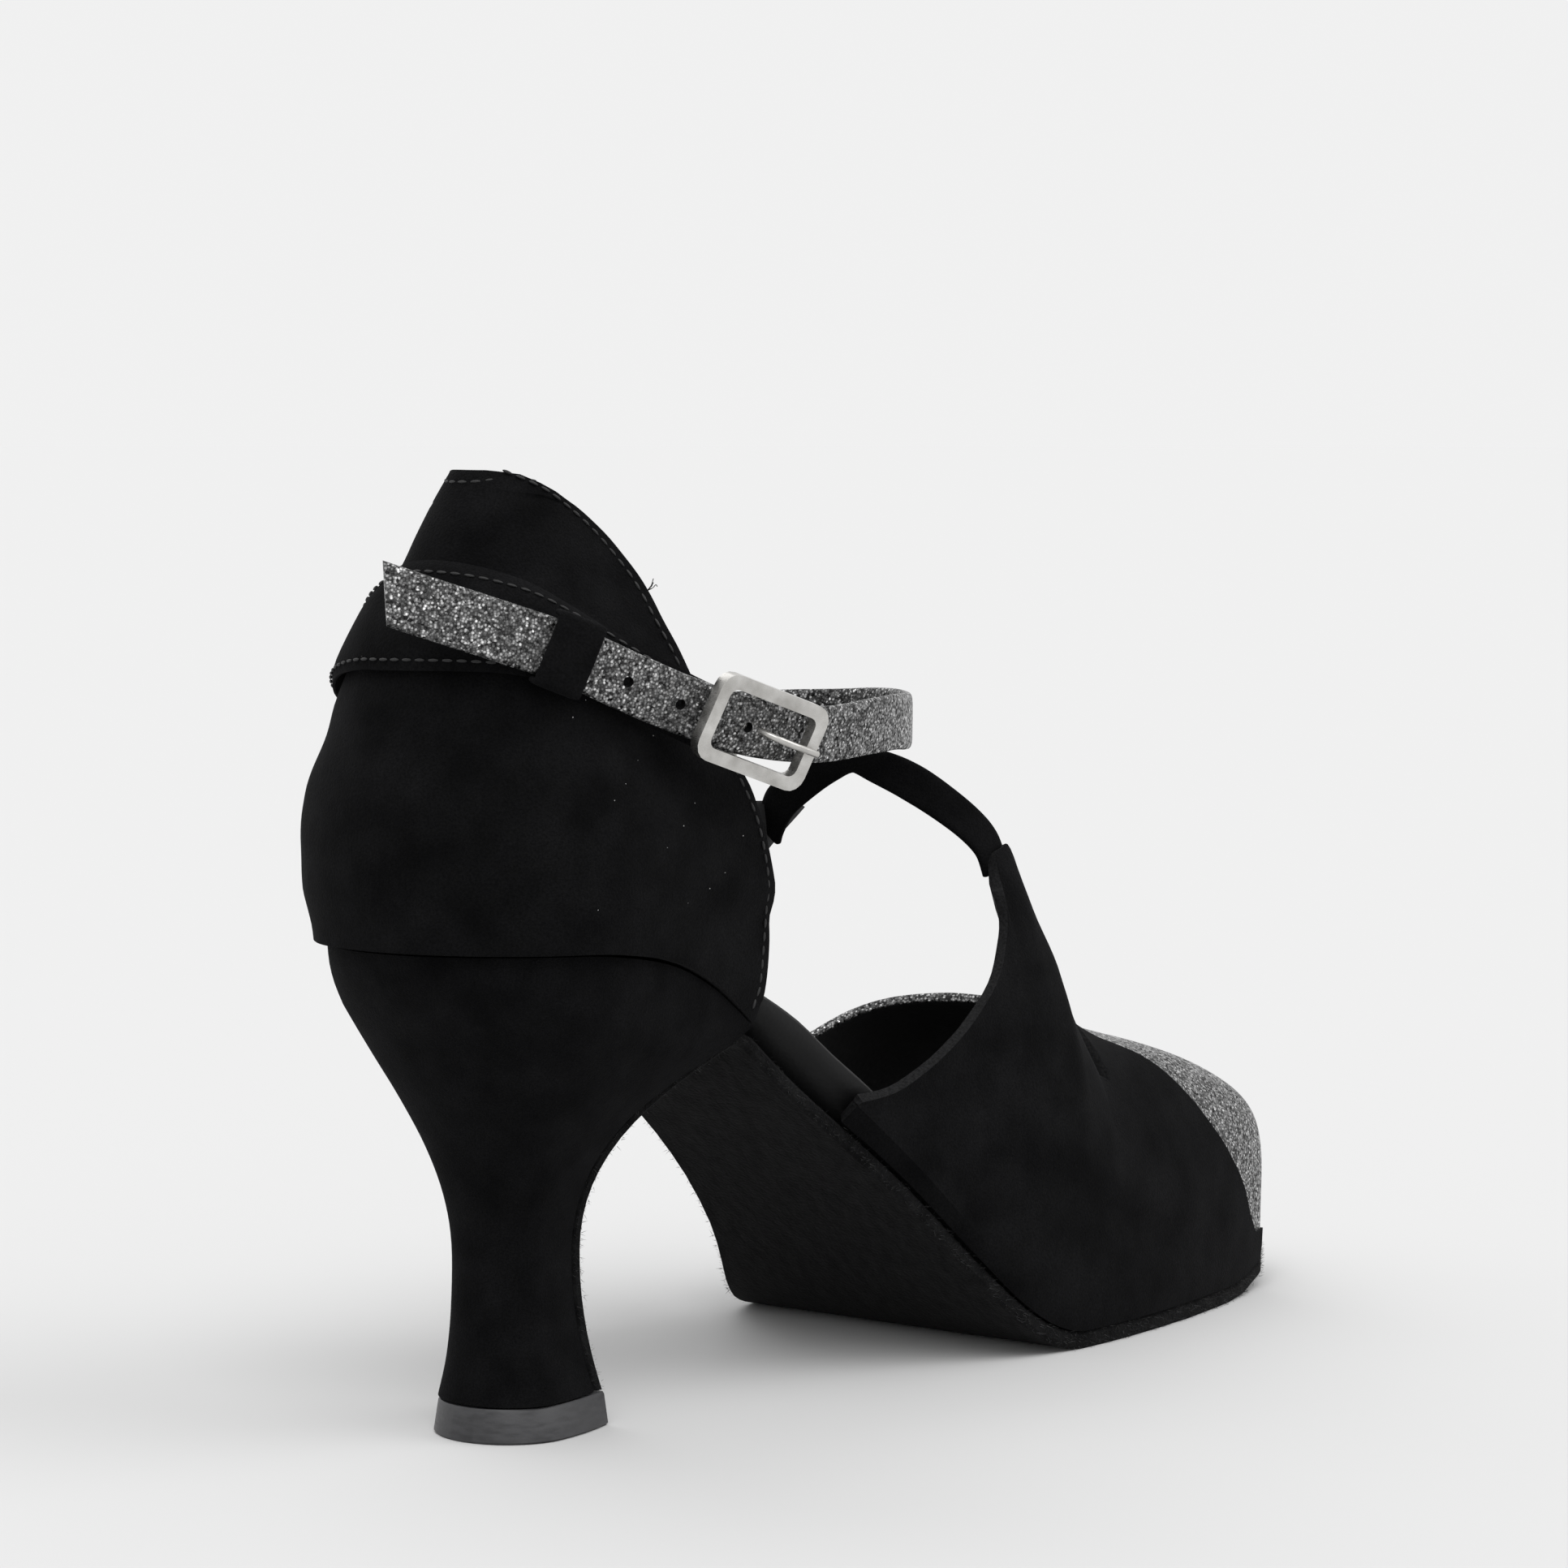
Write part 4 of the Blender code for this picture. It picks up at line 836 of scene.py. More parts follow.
def settle(obj, angle=35):
    """The object's evaluated form as a plain mesh, shaded smooth."""
    bpy.context.view_layer.update()
    graph = bpy.context.evaluated_depsgraph_get()
    mesh = bpy.data.meshes.new_from_object(obj.evaluated_get(graph))
    name = obj.name
    materials = [slot.material for slot in obj.material_slots]
    bpy.data.objects.remove(obj)
    if not mesh.materials:
        for material in materials:
            mesh.materials.append(material)
    mesh.shade_smooth()
    mesh.set_sharp_from_angle(angle=math.radians(angle))
    made = bpy.data.objects.new(name, mesh)
    bpy.context.scene.collection.objects.link(made)
    return made


def attach(obj, slot, *nodes):
    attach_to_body(obj, "root")
    if nodes:
        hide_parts(*nodes)
    return obj


def shell(name, verts, faces, wall, materials, edge=0.0004, worn=None):
    """Leather wall on an open surface: outside, lining and cut edge, its rims eased.
    worn moves the surface before it gets its wall, so that creases press both sides."""
    obj = mesh_piece(name, verts, faces, materials)
    if worn:
        worn(obj)
    solid = obj.modifiers.new("wall", "SOLIDIFY")
    solid.thickness = wall
    solid.offset = -1
    solid.use_even_offset = True
    solid.material_offset = 1
    solid.material_offset_rim = 2
    ease = obj.modifiers.new("eased", "BEVEL")
    ease.width = edge
    ease.segments = 2
    ease.limit_method = "ANGLE"
    ease.angle_limit = math.radians(55)
    ease.material = 2
    return settle(obj)


def closed_loft(name, sections, materials, angle=35):
    count = len(sections[0])
    verts = [p for ring in sections for p in ring]
    faces = []
    for i in range(len(sections) - 1):
        for j in range(count):
            a, b = i * count + j, i * count + (j + 1) % count
            faces.append((a, b, b + count, a + count))
    last = (len(sections) - 1) * count
    for start in (0, last):
        for k in range(count // 2 - 1):
            faces.append((start + k, start + k + 1, start + count - 2 - k, start + count - 1 - k))
    obj = mesh_piece(name, verts, faces, materials)
    body = bmesh.new()
    body.from_mesh(obj.data)
    bmesh.ops.recalc_face_normals(body, faces=body.faces)
    body.to_mesh(obj.data)
    body.free()
    obj.data.shade_smooth()
    obj.data.set_sharp_from_angle(angle=math.radians(angle))
    return obj


# Repeated work: stitches and fibres
def geometry_group(name, inputs):
    tree = bpy.data.node_groups.new(name, "GeometryNodeTree")
    tree.interface.new_socket("Geometry", in_out="INPUT", socket_type="NodeSocketGeometry")
    for label, kind, value in inputs:
        socket = tree.interface.new_socket(label, in_out="INPUT", socket_type=kind)
        socket.default_value = value
    tree.interface.new_socket("Geometry", in_out="OUTPUT", socket_type="NodeSocketGeometry")
    return tree, tree.nodes.new("NodeGroupInput"), tree.nodes.new("NodeGroupOutput")


def stitch_tree():
    """Short thread lumps along a curve, nearly end to end."""
    tree, given, result = geometry_group("stitch_row", [
        ("Spacing", "NodeSocketFloat", 0.0022), ("Length", "NodeSocketFloat", 0.0017),
        ("Thickness", "NodeSocketFloat", 0.0005), ("Thread", "NodeSocketMaterial", THREAD)])
    link = tree.links.new
    points = tree.nodes.new("GeometryNodeCurveToPoints")
    points.mode = "LENGTH"
    link(given.outputs["Geometry"], points.inputs["Curve"])
    link(given.outputs["Spacing"], points.inputs["Length"])
    lump = tree.nodes.new("GeometryNodeMeshIcoSphere")
    lump.inputs["Radius"].default_value = 0.5
    lump.inputs["Subdivisions"].default_value = 2
    size = tree.nodes.new("ShaderNodeCombineXYZ")
    link(given.outputs["Length"], size.inputs["X"])
    link(given.outputs["Thickness"], size.inputs["Y"])
    link(given.outputs["Thickness"], size.inputs["Z"])
    shaped = tree.nodes.new("GeometryNodeTransform")
    link(lump.outputs["Mesh"], shaped.inputs["Geometry"])
    link(size.outputs["Vector"], shaped.inputs["Scale"])
    turn = tree.nodes.new("FunctionNodeAlignRotationToVector")
    turn.axis = "X"
    link(points.outputs["Tangent"], turn.inputs["Vector"])
    copies = tree.nodes.new("GeometryNodeInstanceOnPoints")
    link(points.outputs["Points"], copies.inputs["Points"])
    link(shaped.outputs["Geometry"], copies.inputs["Instance"])
    link(turn.outputs["Rotation"], copies.inputs["Rotation"])
    real = tree.nodes.new("GeometryNodeRealizeInstances")
    link(copies.outputs["Instances"], real.inputs["Geometry"])
    paint = tree.nodes.new("GeometryNodeSetMaterial")
    link(real.outputs["Geometry"], paint.inputs["Geometry"])
    link(given.outputs["Thread"], paint.inputs["Material"])
    link(paint.outputs["Geometry"], result.inputs["Geometry"])
    return tree


def fibre_tree():
    """Fine hairs standing off a surface, leaning every way."""
    tree, given, result = geometry_group("cut_fibres", [
        ("Density", "NodeSocketFloat", 400000.0), ("Length", "NodeSocketFloat", 0.0011),
        ("Thickness", "NodeSocketFloat", 0.00005), ("Lean", "NodeSocketFloat", 0.9),
        ("Seed", "NodeSocketInt", 7), ("Fibre", "NodeSocketMaterial", FIBRE)])
    link = tree.links.new
    points = tree.nodes.new("GeometryNodeDistributePointsOnFaces")
    link(given.outputs["Geometry"], points.inputs["Mesh"])
    link(given.outputs["Density"], points.inputs["Density"])
    link(given.outputs["Seed"], points.inputs["Seed"])
    hair = tree.nodes.new("GeometryNodeMeshCone")
    hair.fill_type = "NONE"
    hair.inputs["Vertices"].default_value = 3
    hair.inputs["Radius Top"].default_value = 0.0
    link(given.outputs["Thickness"], hair.inputs["Radius Bottom"])
    link(given.outputs["Length"], hair.inputs["Depth"])
    drift = tree.nodes.new("FunctionNodeRandomValue")
    drift.data_type = "FLOAT_VECTOR"
    drift.inputs[0].default_value = (-1, -1, -1)
    drift.inputs[1].default_value = (1, 1, 1)
    link(given.outputs["Seed"], drift.inputs["Seed"])
    leaning = tree.nodes.new("ShaderNodeVectorMath")
    leaning.operation = "MULTIPLY_ADD"
    link(drift.outputs[0], leaning.inputs[0])
    link(given.outputs["Lean"], leaning.inputs[1])
    link(points.outputs["Normal"], leaning.inputs[2])
    turn = tree.nodes.new("FunctionNodeAlignRotationToVector")
    turn.axis = "Z"
    link(leaning.outputs["Vector"], turn.inputs["Vector"])
    vary = tree.nodes.new("FunctionNodeRandomValue")
    vary.inputs[2].default_value = 0.4
    vary.inputs[3].default_value = 1.3
    link(given.outputs["Seed"], vary.inputs["Seed"])
    copies = tree.nodes.new("GeometryNodeInstanceOnPoints")
    link(points.outputs["Points"], copies.inputs["Points"])
    link(hair.outputs["Mesh"], copies.inputs["Instance"])
    link(turn.outputs["Rotation"], copies.inputs["Rotation"])
    link(vary.outputs[1], copies.inputs["Scale"])
    real = tree.nodes.new("GeometryNodeRealizeInstances")
    link(copies.outputs["Instances"], real.inputs["Geometry"])
    paint = tree.nodes.new("GeometryNodeSetMaterial")
    link(real.outputs["Geometry"], paint.inputs["Geometry"])
    link(given.outputs["Fibre"], paint.inputs["Material"])
    link(paint.outputs["Geometry"], result.inputs["Geometry"])
    return tree


STITCHES = stitch_tree()
FIBRES = fibre_tree()


def set_input(modifier, label, value):
    for item in modifier.node_group.interface.items_tree:
        if item.item_type == "SOCKET" and item.in_out == "INPUT" and item.name == label:
            modifier[item.identifier] = value


def run_tree(obj, tree, **sizes):
    modifier = obj.modifiers.new("made", "NODES")
    modifier.node_group = tree
    for label, value in sizes.items():
        set_input(modifier, label.capitalize(), value)
    return settle(obj, 60)


def stitch_rows(name, rows, slot="black_suede", **sizes):
    """Rows of stitches along point lists, as one piece."""
    curve = bpy.data.curves.new(name, "CURVE")
    curve.dimensions = "3D"
    for row in rows:
        spline = curve.splines.new("POLY")
        spline.points.add(len(row) - 1)
        for point, place in zip(spline.points, row):
            point.co = (*place, 1)
    obj = bpy.data.objects.new(name, curve)
    bpy.context.scene.collection.objects.link(obj)
    return attach(run_tree(obj, STITCHES, **sizes), slot)


# Quarter and inner wing
FINE_ROWS = 64
FINE_ARC = 30
FINE_SIDE = 14
CREASES = [
    # x, z, length along, slope, depth, width
    (0.004, 0.089, 0.020, 0.15, 0.00045, 0.0022),
    (0.014, 0.094, 0.018, 0.30, 0.00035, 0.0020),
    (0.022, 0.083, 0.014, -0.20, 0.00040, 0.0022),
    (-0.010, 0.112, 0.022, 0.10, 0.00030, 0.0026),
    (0.110, 0.030, 0.020, -0.55, 0.00040, 0.0024),
    (0.122, 0.022, 0.022, -0.35, 0.00050, 0.0026),
    (0.134, 0.018, 0.022, -0.25, 0.00045, 0.0026),
    (0.146, 0.020, 0.018, -0.30, 0.00035, 0.0024),
]


def creased(point, normal):
    """Soft troughs pressed into the leather by wear."""
    shift = 0.0
    for x, z, length, slope, depth, width in CREASES:
        dx, dz = point.x - x, point.z - z
        across = dz - slope * dx
        shift -= depth * math.exp(-(across / width) ** 2 - (dx / length) ** 2)
        shift += 0.5 * depth * math.exp(-((across - 1.8 * width) / width) ** 2 - (dx / length) ** 2)
    shift += 0.00022 * noise.noise(point * 70) + 0.00010 * noise.noise(point * 190)
    return point + normal * shift


def wrinkle(obj):
    obj.data.update()
    normals = [v.normal.copy() for v in obj.data.vertices]
    for v, n in zip(obj.data.vertices, normals):
        v.co = creased(v.co.copy(), n)


def fine_row(lift):
    """One row of the quarter, close enough together to look round."""
    outer = read(COLLAR, "outer", lift, "lift") * LAST_LENGTH
    inner = read(COLLAR, "inner", lift, "lift") * LAST_LENGTH
    row = []
    for side, front in ((-1, outer), (1, inner)):
        centre = quarter_section(lifted(0.0, lift))[0]
        rear = quarter_back(0.0, lifted(centre, lift))[0]
        reach = 90.0
        if front < centre:
            reach = math.degrees(math.acos(min(max((centre - front) / (centre - rear), -1), 1)))
        arc = []
        steps = FINE_ARC + (FINE_SIDE if front < centre else 0)
        for k in range(steps + 1):
            bearing = side * math.radians(reach * k / steps)
            x = quarter_back(bearing, lifted(centre, lift))[0]
            arc.append(quarter_back(bearing, lifted(x, lift)))
        if front >= centre:
            start = arc[-1].x
            for k in range(1, FINE_SIDE + 1):
                x = start + (front - start) * k / FINE_SIDE
                arc.append(quarter_side(x, lifted(x, lift), side))
        row.append(arc)
    return row[0][:0:-1] + row[1]


def fine_lifts():
    """Row heights with the wing's top row kept exactly."""
    join = COLLAR["lift"][WING_ROWS - 1]
    low = [join * k / (FINE_ROWS // 2) for k in range(FINE_ROWS // 2)]
    high = [join + (1 - join) * (k / (FINE_ROWS // 2)) ** 0.85 for k in range(FINE_ROWS // 2 + 1)]
    return low, high


def fine_quarter():
    low, high = fine_lifts()
    rows = [fine_row(lift) for lift in low + high]
    columns = len(rows[0])
    verts = [p for row in rows for p in row]
    faces = grid_faces(len(rows), columns)
    left = [row[-1] for row in rows[:len(low) + 1]]
    front = [Vector((x * LAST_LENGTH, y * HALF_WIDTH, rise(r)))
             for x, y, r in zip(*(WING_FRONT[k] for k in ("x", "y", "rise")))]
    top = [Vector((x * LAST_LENGTH, y * HALF_WIDTH, rise(r)))
           for x, y, r in zip(*(WING_TOP[k] for k in ("x", "y", "rise")))]
    count = 40
    top = resample(catmull([left[-1]] + top[1:], 6), count)
    start = left[0].x
    bottom, foot = [left[1]], [left[0]]
    for j in range(1, count):
        x = start + (front[0].x - start) * j / (count - 1)
        foot.append(Vector((x, tuck_half(1, x), foot_height(x) + 3 * FIT)))
        bottom.append(Vector((x, edge_half(1, x), foot_height(x) + FEATHER)))
    front[0] = bottom[-1]
    front = resample(catmull(front, 6), len(left) - 1)
    patch = [foot] + coons(bottom, top, left[1:], front)
    base = len(verts)
    verts += [p for row in patch for p in row]
    faces += grid_faces(len(patch), count, base)
    return verts, faces, rows, patch


verts, faces, quarter_rows, wing_patch = fine_quarter()
quarter = shell("quarter", verts, faces, UPPER_WALL, [BLACK_SUEDE, GREY_LINING, RAW_EDGE],
                worn=wrinkle)
attach(quarter, "black_suede", "upper")


# Vamp, side panel and outer wing
FINE_COLUMNS = 60


def vamp_line(columns, girth_at):
    line = []
    for k in range(columns):
        u = k / (columns - 1)
        girth = girth_at(VAMP_ENDS["throat"][0])
        for _ in range(5):
            x = LAST_LENGTH * (read(VAMP_ENDS, "throat", girth, "girth") * (1 - u)
                               + read(VAMP_ENDS, "toe", girth, "girth") * u)
            girth = girth_at(x / LAST_LENGTH)
        line.append((x, girth))
    return line


def panel_edge(x):
    return read(PANEL, "girth", x)


def fine_vamp():
    """Glitter cloth over the top and inner side, reaching a little under the side panel."""
    rows = 56
    lines = []
    for k in range(rows):
        share = k / (rows - 1)

        def girth_at(x, share=share):
            edge = max(panel_edge(x) - 0.02, 0.0)
            return edge + (1 - edge) * share

        lines.append([vamp_point(x, g) for x, g in vamp_line(FINE_COLUMNS, girth_at)])
    foot = [Vector((p.x, tuck_half(1, p.x), foot_height(p.x))) for p in lines[-1]]
    lines.append(foot)
    return [p for line in lines for p in line], grid_faces(len(lines), FINE_COLUMNS, 0, True), lines


verts, faces, vamp_lines = fine_vamp()
vamp = shell("glitter_vamp", verts, faces, UPPER_WALL, [GLITTER, DARK_LINING, GLITTER])
attach(vamp, "glitter_cloth", "upper")


def fine_panel():
    """Suede side panel with the outer wing, standing proud of the vamp."""
    notch = PANEL_SHARES[NOTCH_ROW]
    shares = sorted(set([notch * k / 16 for k in range(17)]
                        + [notch + (1 - notch) * k / 8 for k in range(1, 9)]))
    lines = []
    for share in shares:
        def girth_at(x, share=share):
            return panel_edge(x) * share

        lines.append([raised(vamp_point(x, g), x, g) for x, g in vamp_line(FINE_COLUMNS, girth_at)])
    foot = [Vector((p.x, -tuck_half(-1, p.x) - PANEL_STEP, foot_height(p.x))) for p in lines[0]]
    lines = [foot] + lines
    verts = [p for line in lines for p in line]
    faces = grid_faces(len(lines), FINE_COLUMNS, 0, True)
    pattern = [line[0] for line in lines[1:18]]
    span = pattern[-1] - pattern[0]
    profile = [((p.y - pattern[0].y) / span.y, (p.z - pattern[0].z) / span.z) for p in pattern]
    feet = [Vector((f, 0, 0)) for f in RIBS["foot"]]
    tops = [Vector((x, y, r)) for x, y, r in zip(*(RIBS[k] for k in ("x", "y", "rise")))]
    ribs = []
    for f, top in zip(catmull(feet, 5), catmull(tops, 5)):
        fx = f.x * LAST_LENGTH
        tuck = Vector((fx, -tuck_half(-1, fx) - PANEL_STEP, foot_height(fx)))
        low = Vector((fx, -edge_half(-1, fx) - PANEL_STEP, foot_height(fx) + FEATHER))
        high = Vector((top.x * LAST_LENGTH, top.y * HALF_WIDTH - PANEL_STEP, rise(top.z)))
        ribs.append([tuck] + [Vector((low.x + (high.x - low.x) * up,
                                      low.y + (high.y - low.y) * across,
                                      low.z + (high.z - low.z) * up)) for across, up in profile])
    ribs.append([line[0] for line in lines[:18]])
    base = len(verts)
    verts += [ribs[j][i] for i in range(18) for j in range(len(ribs))]
    faces += grid_faces(18, len(ribs), base, True)
    return verts, faces, lines, ribs


verts, faces, panel_lines, wing_ribs = fine_panel()
panel = shell("side_panel", verts, faces, UPPER_WALL, [BLACK_SUEDE, GREY_LINING, RAW_EDGE],
              worn=wrinkle)
attach(panel, "black_suede", "upper")


# Straps
TIP_RINGS = 10
TIP_SLANT = 0.0037
HOLE_STATIONS = (16.1, 17.1, 18.07, 19.03)
HOLE_RADIUS = 0.00085


def strap_ring(point, across, out, width, thick, soft=0.35):
    """Rounded flat section of a folded strap."""
    ring = []
    for k in range(20):
        a = 2 * math.pi * k / 20
        c, s = math.cos(a), math.sin(a)
        y = math.copysign(abs(c) ** soft, c) * width / 2
        z = math.copysign(abs(s) ** 0.75, s) * thick / 2
        ring.append(point + across * y + out * z)
    return ring


def fine_strap(name, points, widths, width, thick, materials, slant=0.0):
    """Strap along its points; slant is how far the lower corner of its tip is cut back."""
    rings = []
    last = len(points) - 1
    for i, (point, across) in enumerate(zip(points, widths)):
        along = (points[min(i + 1, last)] - points[max(i - 1, 0)]).normalized()
        across = (across - along * across.dot(along)).normalized()
        ring = strap_ring(point, across, along.cross(across).normalized(), width, thick)
        cut = slant * max(1 - (last - i) / TIP_RINGS, 0.0)
        rings.append([q - along * cut * (0.5 - (q - point).dot(across) / width) for q in ring])
    return closed_loft(name, rings, materials, 50)


def strap_points(rows, names=("x", "y", "rise")):
    return [Vector((x * LAST_LENGTH, y * HALF_WIDTH, rise(r)))
            for x, y, r in zip(*(rows[k] for k in names))]


def strap_leans():
    """Direction across the ankle strap at each station, its top edge leaning outwards."""
    angles = [math.radians(lean) for lean in ANKLE_STRAP["lean"]]
    return [Vector((0, -math.sin(a), math.cos(a))) for a in angles]


def strap_frame(station):
    """Place of a fitting on the ankle strap: along to the front, up, and out."""
    points = strap_points(ANKLE_STRAP)
    along = (points[station - 1] - points[station + 1]).normalized()
    across = strap_leans()[station]
    up = (across - along * along.dot(across)).normalized()
    out = along.cross(up).normalized()
    middle = points[station]
    if out.y > 0:
        out = -out
    return Matrix(((along.x, up.x, out.x, middle.x), (along.y, up.y, out.y, middle.y),
                   (along.z, up.z, out.z, middle.z), (0, 0, 0, 1)))


instep_points = catmull(strap_points(INSTEP_STRAP), 8)
instep_leans = catmull([Vector((lean, 0, 0)) for lean in INSTEP_STRAP["lean"]], 8)
instep_across = [Vector((math.sin(math.radians(a.x)), 0, math.cos(math.radians(a.x))))
                 for a in instep_leans]
instep = fine_strap("instep_strap", instep_points, instep_across, INSTEP_STRAP_WIDTH,
                    INSTEP_STRAP_THICK, [BLACK_SUEDE])
attach(instep, "black_suede", "upper")

ankle_points = catmull(strap_points(ANKLE_STRAP), 12)
ankle = fine_strap("glitter_strap", ankle_points, catmull(strap_leans(), 12), STRAP_WIDTH,
                   STRAP_THICK, [GLITTER], TIP_SLANT)


def punched(strap):
    """The strap with its row of punched holes."""
    stations = catmull(strap_points(ANKLE_STRAP), 100)
    leans = catmull(strap_leans(), 100)
    cutters = []
    for at in HOLE_STATIONS:
        k = round(at * 100)
        along = (stations[k + 1] - stations[k - 1]).normalized()
        out = along.cross(leans[k]).normalized()
        ends = [stations[k] - out * 0.003, stations[k] + out * 0.003]
        side = along.cross(out).normalized()
        rings = [[end + (along * math.cos(a) + side * math.sin(a)) * HOLE_RADIUS
                  for a in (2 * math.pi * j / 20 for j in range(20))] for end in ends]
        cutter = closed_loft("punch", rings, [DARK_EDGE])
        cutters.append(cutter)
        cut = strap.modifiers.new("punched", "BOOLEAN")
        cut.operation = "DIFFERENCE"
        cut.object = cutter
        cut.solver = "EXACT"
        cut.material_mode = "TRANSFER"
    made = settle(strap, 50)
    for cutter in cutters:
        bpy.data.objects.remove(cutter)
    return made


attach(punched(ankle), "glitter_cloth", "ankle_strap")


# Sole, insole, heel and lift
def fine_outsole():
    rings = []
    for p, n, t in PATH:
        ease = 0.0005
        ring = []
        for depth, narrow in ((0.0, ease), (0.25, 0.0), (0.75, 0.0), (1.0, ease)):
            x, z = p.x + n.x * t * depth, p.y + n.y * t * depth
            ring.append((x, z, narrow))
        left = [Vector((x, -p.z + narrow, z)) for x, z, narrow in ring]
        right = [Vector((x, p.w - narrow, z)) for x, z, narrow in ring]
        rings.append(left + right[::-1])
    return closed_loft("outsole_suede", rings, [SOLE_SUEDE], 30)


attach(fine_outsole(), "sole_suede", "outsole")


def make_heel_cover():
    rings = []
    keys = ("z_back", "z_breast", "back", "middle", "breast")
    rows = [Vector(row[:4]) for row in zip(*(HEEL[k] for k in keys))]
    wide = [Vector((row, 0)) for row in HEEL["breast"]]
    dense = list(zip(catmull(rows, 5), catmull(wide, 5)))
    for i, (row, breast) in enumerate(dense):
        low, high = row.x * HEEL_HEIGHT, row.y * HEEL_HEIGHT
        if i == 0:
            low = high = LIFT_THICK + FIT
        back = row.z * LAST_LENGTH
        front = polyline(BREAST, high)

        def height(x, low=low, high=high, back=back, front=front):
            return low + (high - low) * (x - back) / (front - back)

        rings.append(heel_ring(back, front, row.w * HALF_WIDTH, breast.x * HALF_WIDTH, height))
    top = heel_ring(HEEL_TOP_BACK * LAST_LENGTH, HEEL_TOP_BREAST * LAST_LENGTH,
                    HEEL_TOP_MIDDLE * HALF_WIDTH, HEEL_TOP_FRONT * HALF_WIDTH,
                    lambda x: seat_height(x) - FIT)
    last = rings[-1]
    for k in range(1, 7):
        swell = 0.0006 * math.sin(math.pi * k / 6)
        ring = []
        for a, b in zip(last, top):
            p = a.lerp(b, k / 6)
            away = Vector((p.x, p.y, 0)).normalized()
            ring.append(p + away * swell)
        rings.append(ring)
    return closed_loft("heel_cover", rings, [HEEL_SUEDE], 50)


attach(make_heel_cover(), "black_suede", "heel")


def make_footbed():
    """Insole with a softly rounded edge, covered in sock lining."""
    centre = QUARTER["centre"][2] * HALF_WIDTH
    reach = QUARTER["back"][2] * HALF_WIDTH - UPPER_WALL - 2 * FIT
    stations = [centre - reach * math.cos(math.radians(a)) for a in range(6, 88, 6)]
    stations += [(0.0 + 0.0125 * k) * LAST_LENGTH for k in range(79)]
    rings = []
    for x in stations:
        low = foot_height(x) + FIT
        top = read(FOOTBED, "z", x / LAST_LENGTH) * HEEL_HEIGHT
        ring = []
        for side in (-1, 1):
            full = insole_half(side, x)
            foot = min(tuck_half(side, x) - INSOLE_TUCK, full * 0.94)
            rows = ((foot - 0.001, 0.0), (foot, 0.03), (foot + (full - foot) * 0.62, 0.32),
                    (full - 0.0003, 0.56), (full, 0.7), (full, 0.9), (full - 0.0008, 1.0))
            ring.append([Vector((x, side * y, low + (top - low) * share)) for y, share in rows])
        rings.append(ring[0] + ring[1][::-1])
    return closed_loft("footbed", rings, [SOCK], 50)


attach(make_footbed(), "grey_lining", "insole")


def make_lift():
    back = HEEL["back"][0] * LAST_LENGTH - LIFT_FLARE / 2
    front = SOLE["x"][0] * LAST_LENGTH
    middle, breast = HEEL["middle"][0] * HALF_WIDTH, HEEL["breast"][0] * HALF_WIDTH
    rings = []
    for z, grow in ((0.0, LIFT_FLARE * 0.4), (0.0004, LIFT_FLARE), (LIFT_THICK - 0.0004, 0.0),
                    (LIFT_THICK, -LIFT_FLARE * 0.4)):
        rings.append(heel_ring(back - grow / 2, front + grow / 2, middle + grow,
                               breast + grow / 2, lambda x, z=z: z))
    return closed_loft("lift_block", rings, [LIFT], 40)


attach(make_lift(), "lift_rubber", "top_lift")


# Heel band
def band_stations():
    """Plan direction, middle and width of the band at each station, closely spaced."""
    rows = [Vector(row) for row in zip(*(BAND[k] for k in ("bearing", "middle", "width")))]
    return catmull(rows, 6)


def band_point(angle, z, grow):
    """Point at a distance outside the quarter."""
    _, back, half = quarter_section(z)
    away = Vector((-math.cos(angle) / back, math.sin(angle) / half, 0)).normalized()
    return quarter_back(angle, z) + away * grow


def band_section(point_at, middle, width, thick=BAND_THICK):
    """Rounded section of the folded band between its lower and upper edges."""
    ring = []
    steps = 8
    for k in range(steps + 1):
        share = k / steps - 0.5
        rim = 1 - abs(2 * share) ** 6
        ring.append(point_at(rise(middle + width * share), BAND_GAP + thick * 0.35 * (1 - rim)))
    for k in range(steps, -1, -1):
        share = k / steps - 0.5
        rim = 1 - abs(2 * share) ** 6
        ring.append(point_at(rise(middle + width * share), BAND_GAP + thick * (0.55 + 0.45 * rim)))
    return ring


def band_rings():
    rings = []
    side_x = BAND_INNER_END * LAST_LENGTH

    def on_side(z, grow):
        return quarter_side(side_x, z, 1) + Vector((0, grow, 0))

    rings.append(band_section(on_side, BAND["middle"][0] - BAND_INNER_DROP, BAND["width"][0]))
    for station in band_stations():
        angle = math.radians(station.x)
        rings.append(band_section(lambda z, grow, angle=angle: band_point(angle, z, grow),
                                  station.y, station.z))
    tail = [Vector(row) for row in zip(*(BAND_TAIL[k] for k in ("x", "y", "middle", "width")))]
    before = Vector((0.0, BAND_TAIL_START * HALF_WIDTH, 0))
    for row in catmull(tail, 4):
        place = Vector((row.x * LAST_LENGTH, row.y * HALF_WIDTH, 0))
        if (place - before).length < 0.0005:
            continue
        along = (place - before).normalized()
        away = Vector((along.y, -along.x, 0))
        before = place if row is tail[-1] else before

        def free(z, grow, place=place, away=away):
            return place + away * (grow - BAND_GAP - BAND_THICK / 2) + Vector((0, 0, z))

        rings.append(band_section(free, row.z, row.w))
    return rings


band = closed_loft("suede_band", band_rings(), [BLACK_SUEDE], 50)
attach(band, "black_suede", "heel_band")


# Keeper: run of its flat top's corners, and its crown as a share of its thickness.
KEEPER_CORNER = 0.001
KEEPER_CROWN = 0.62


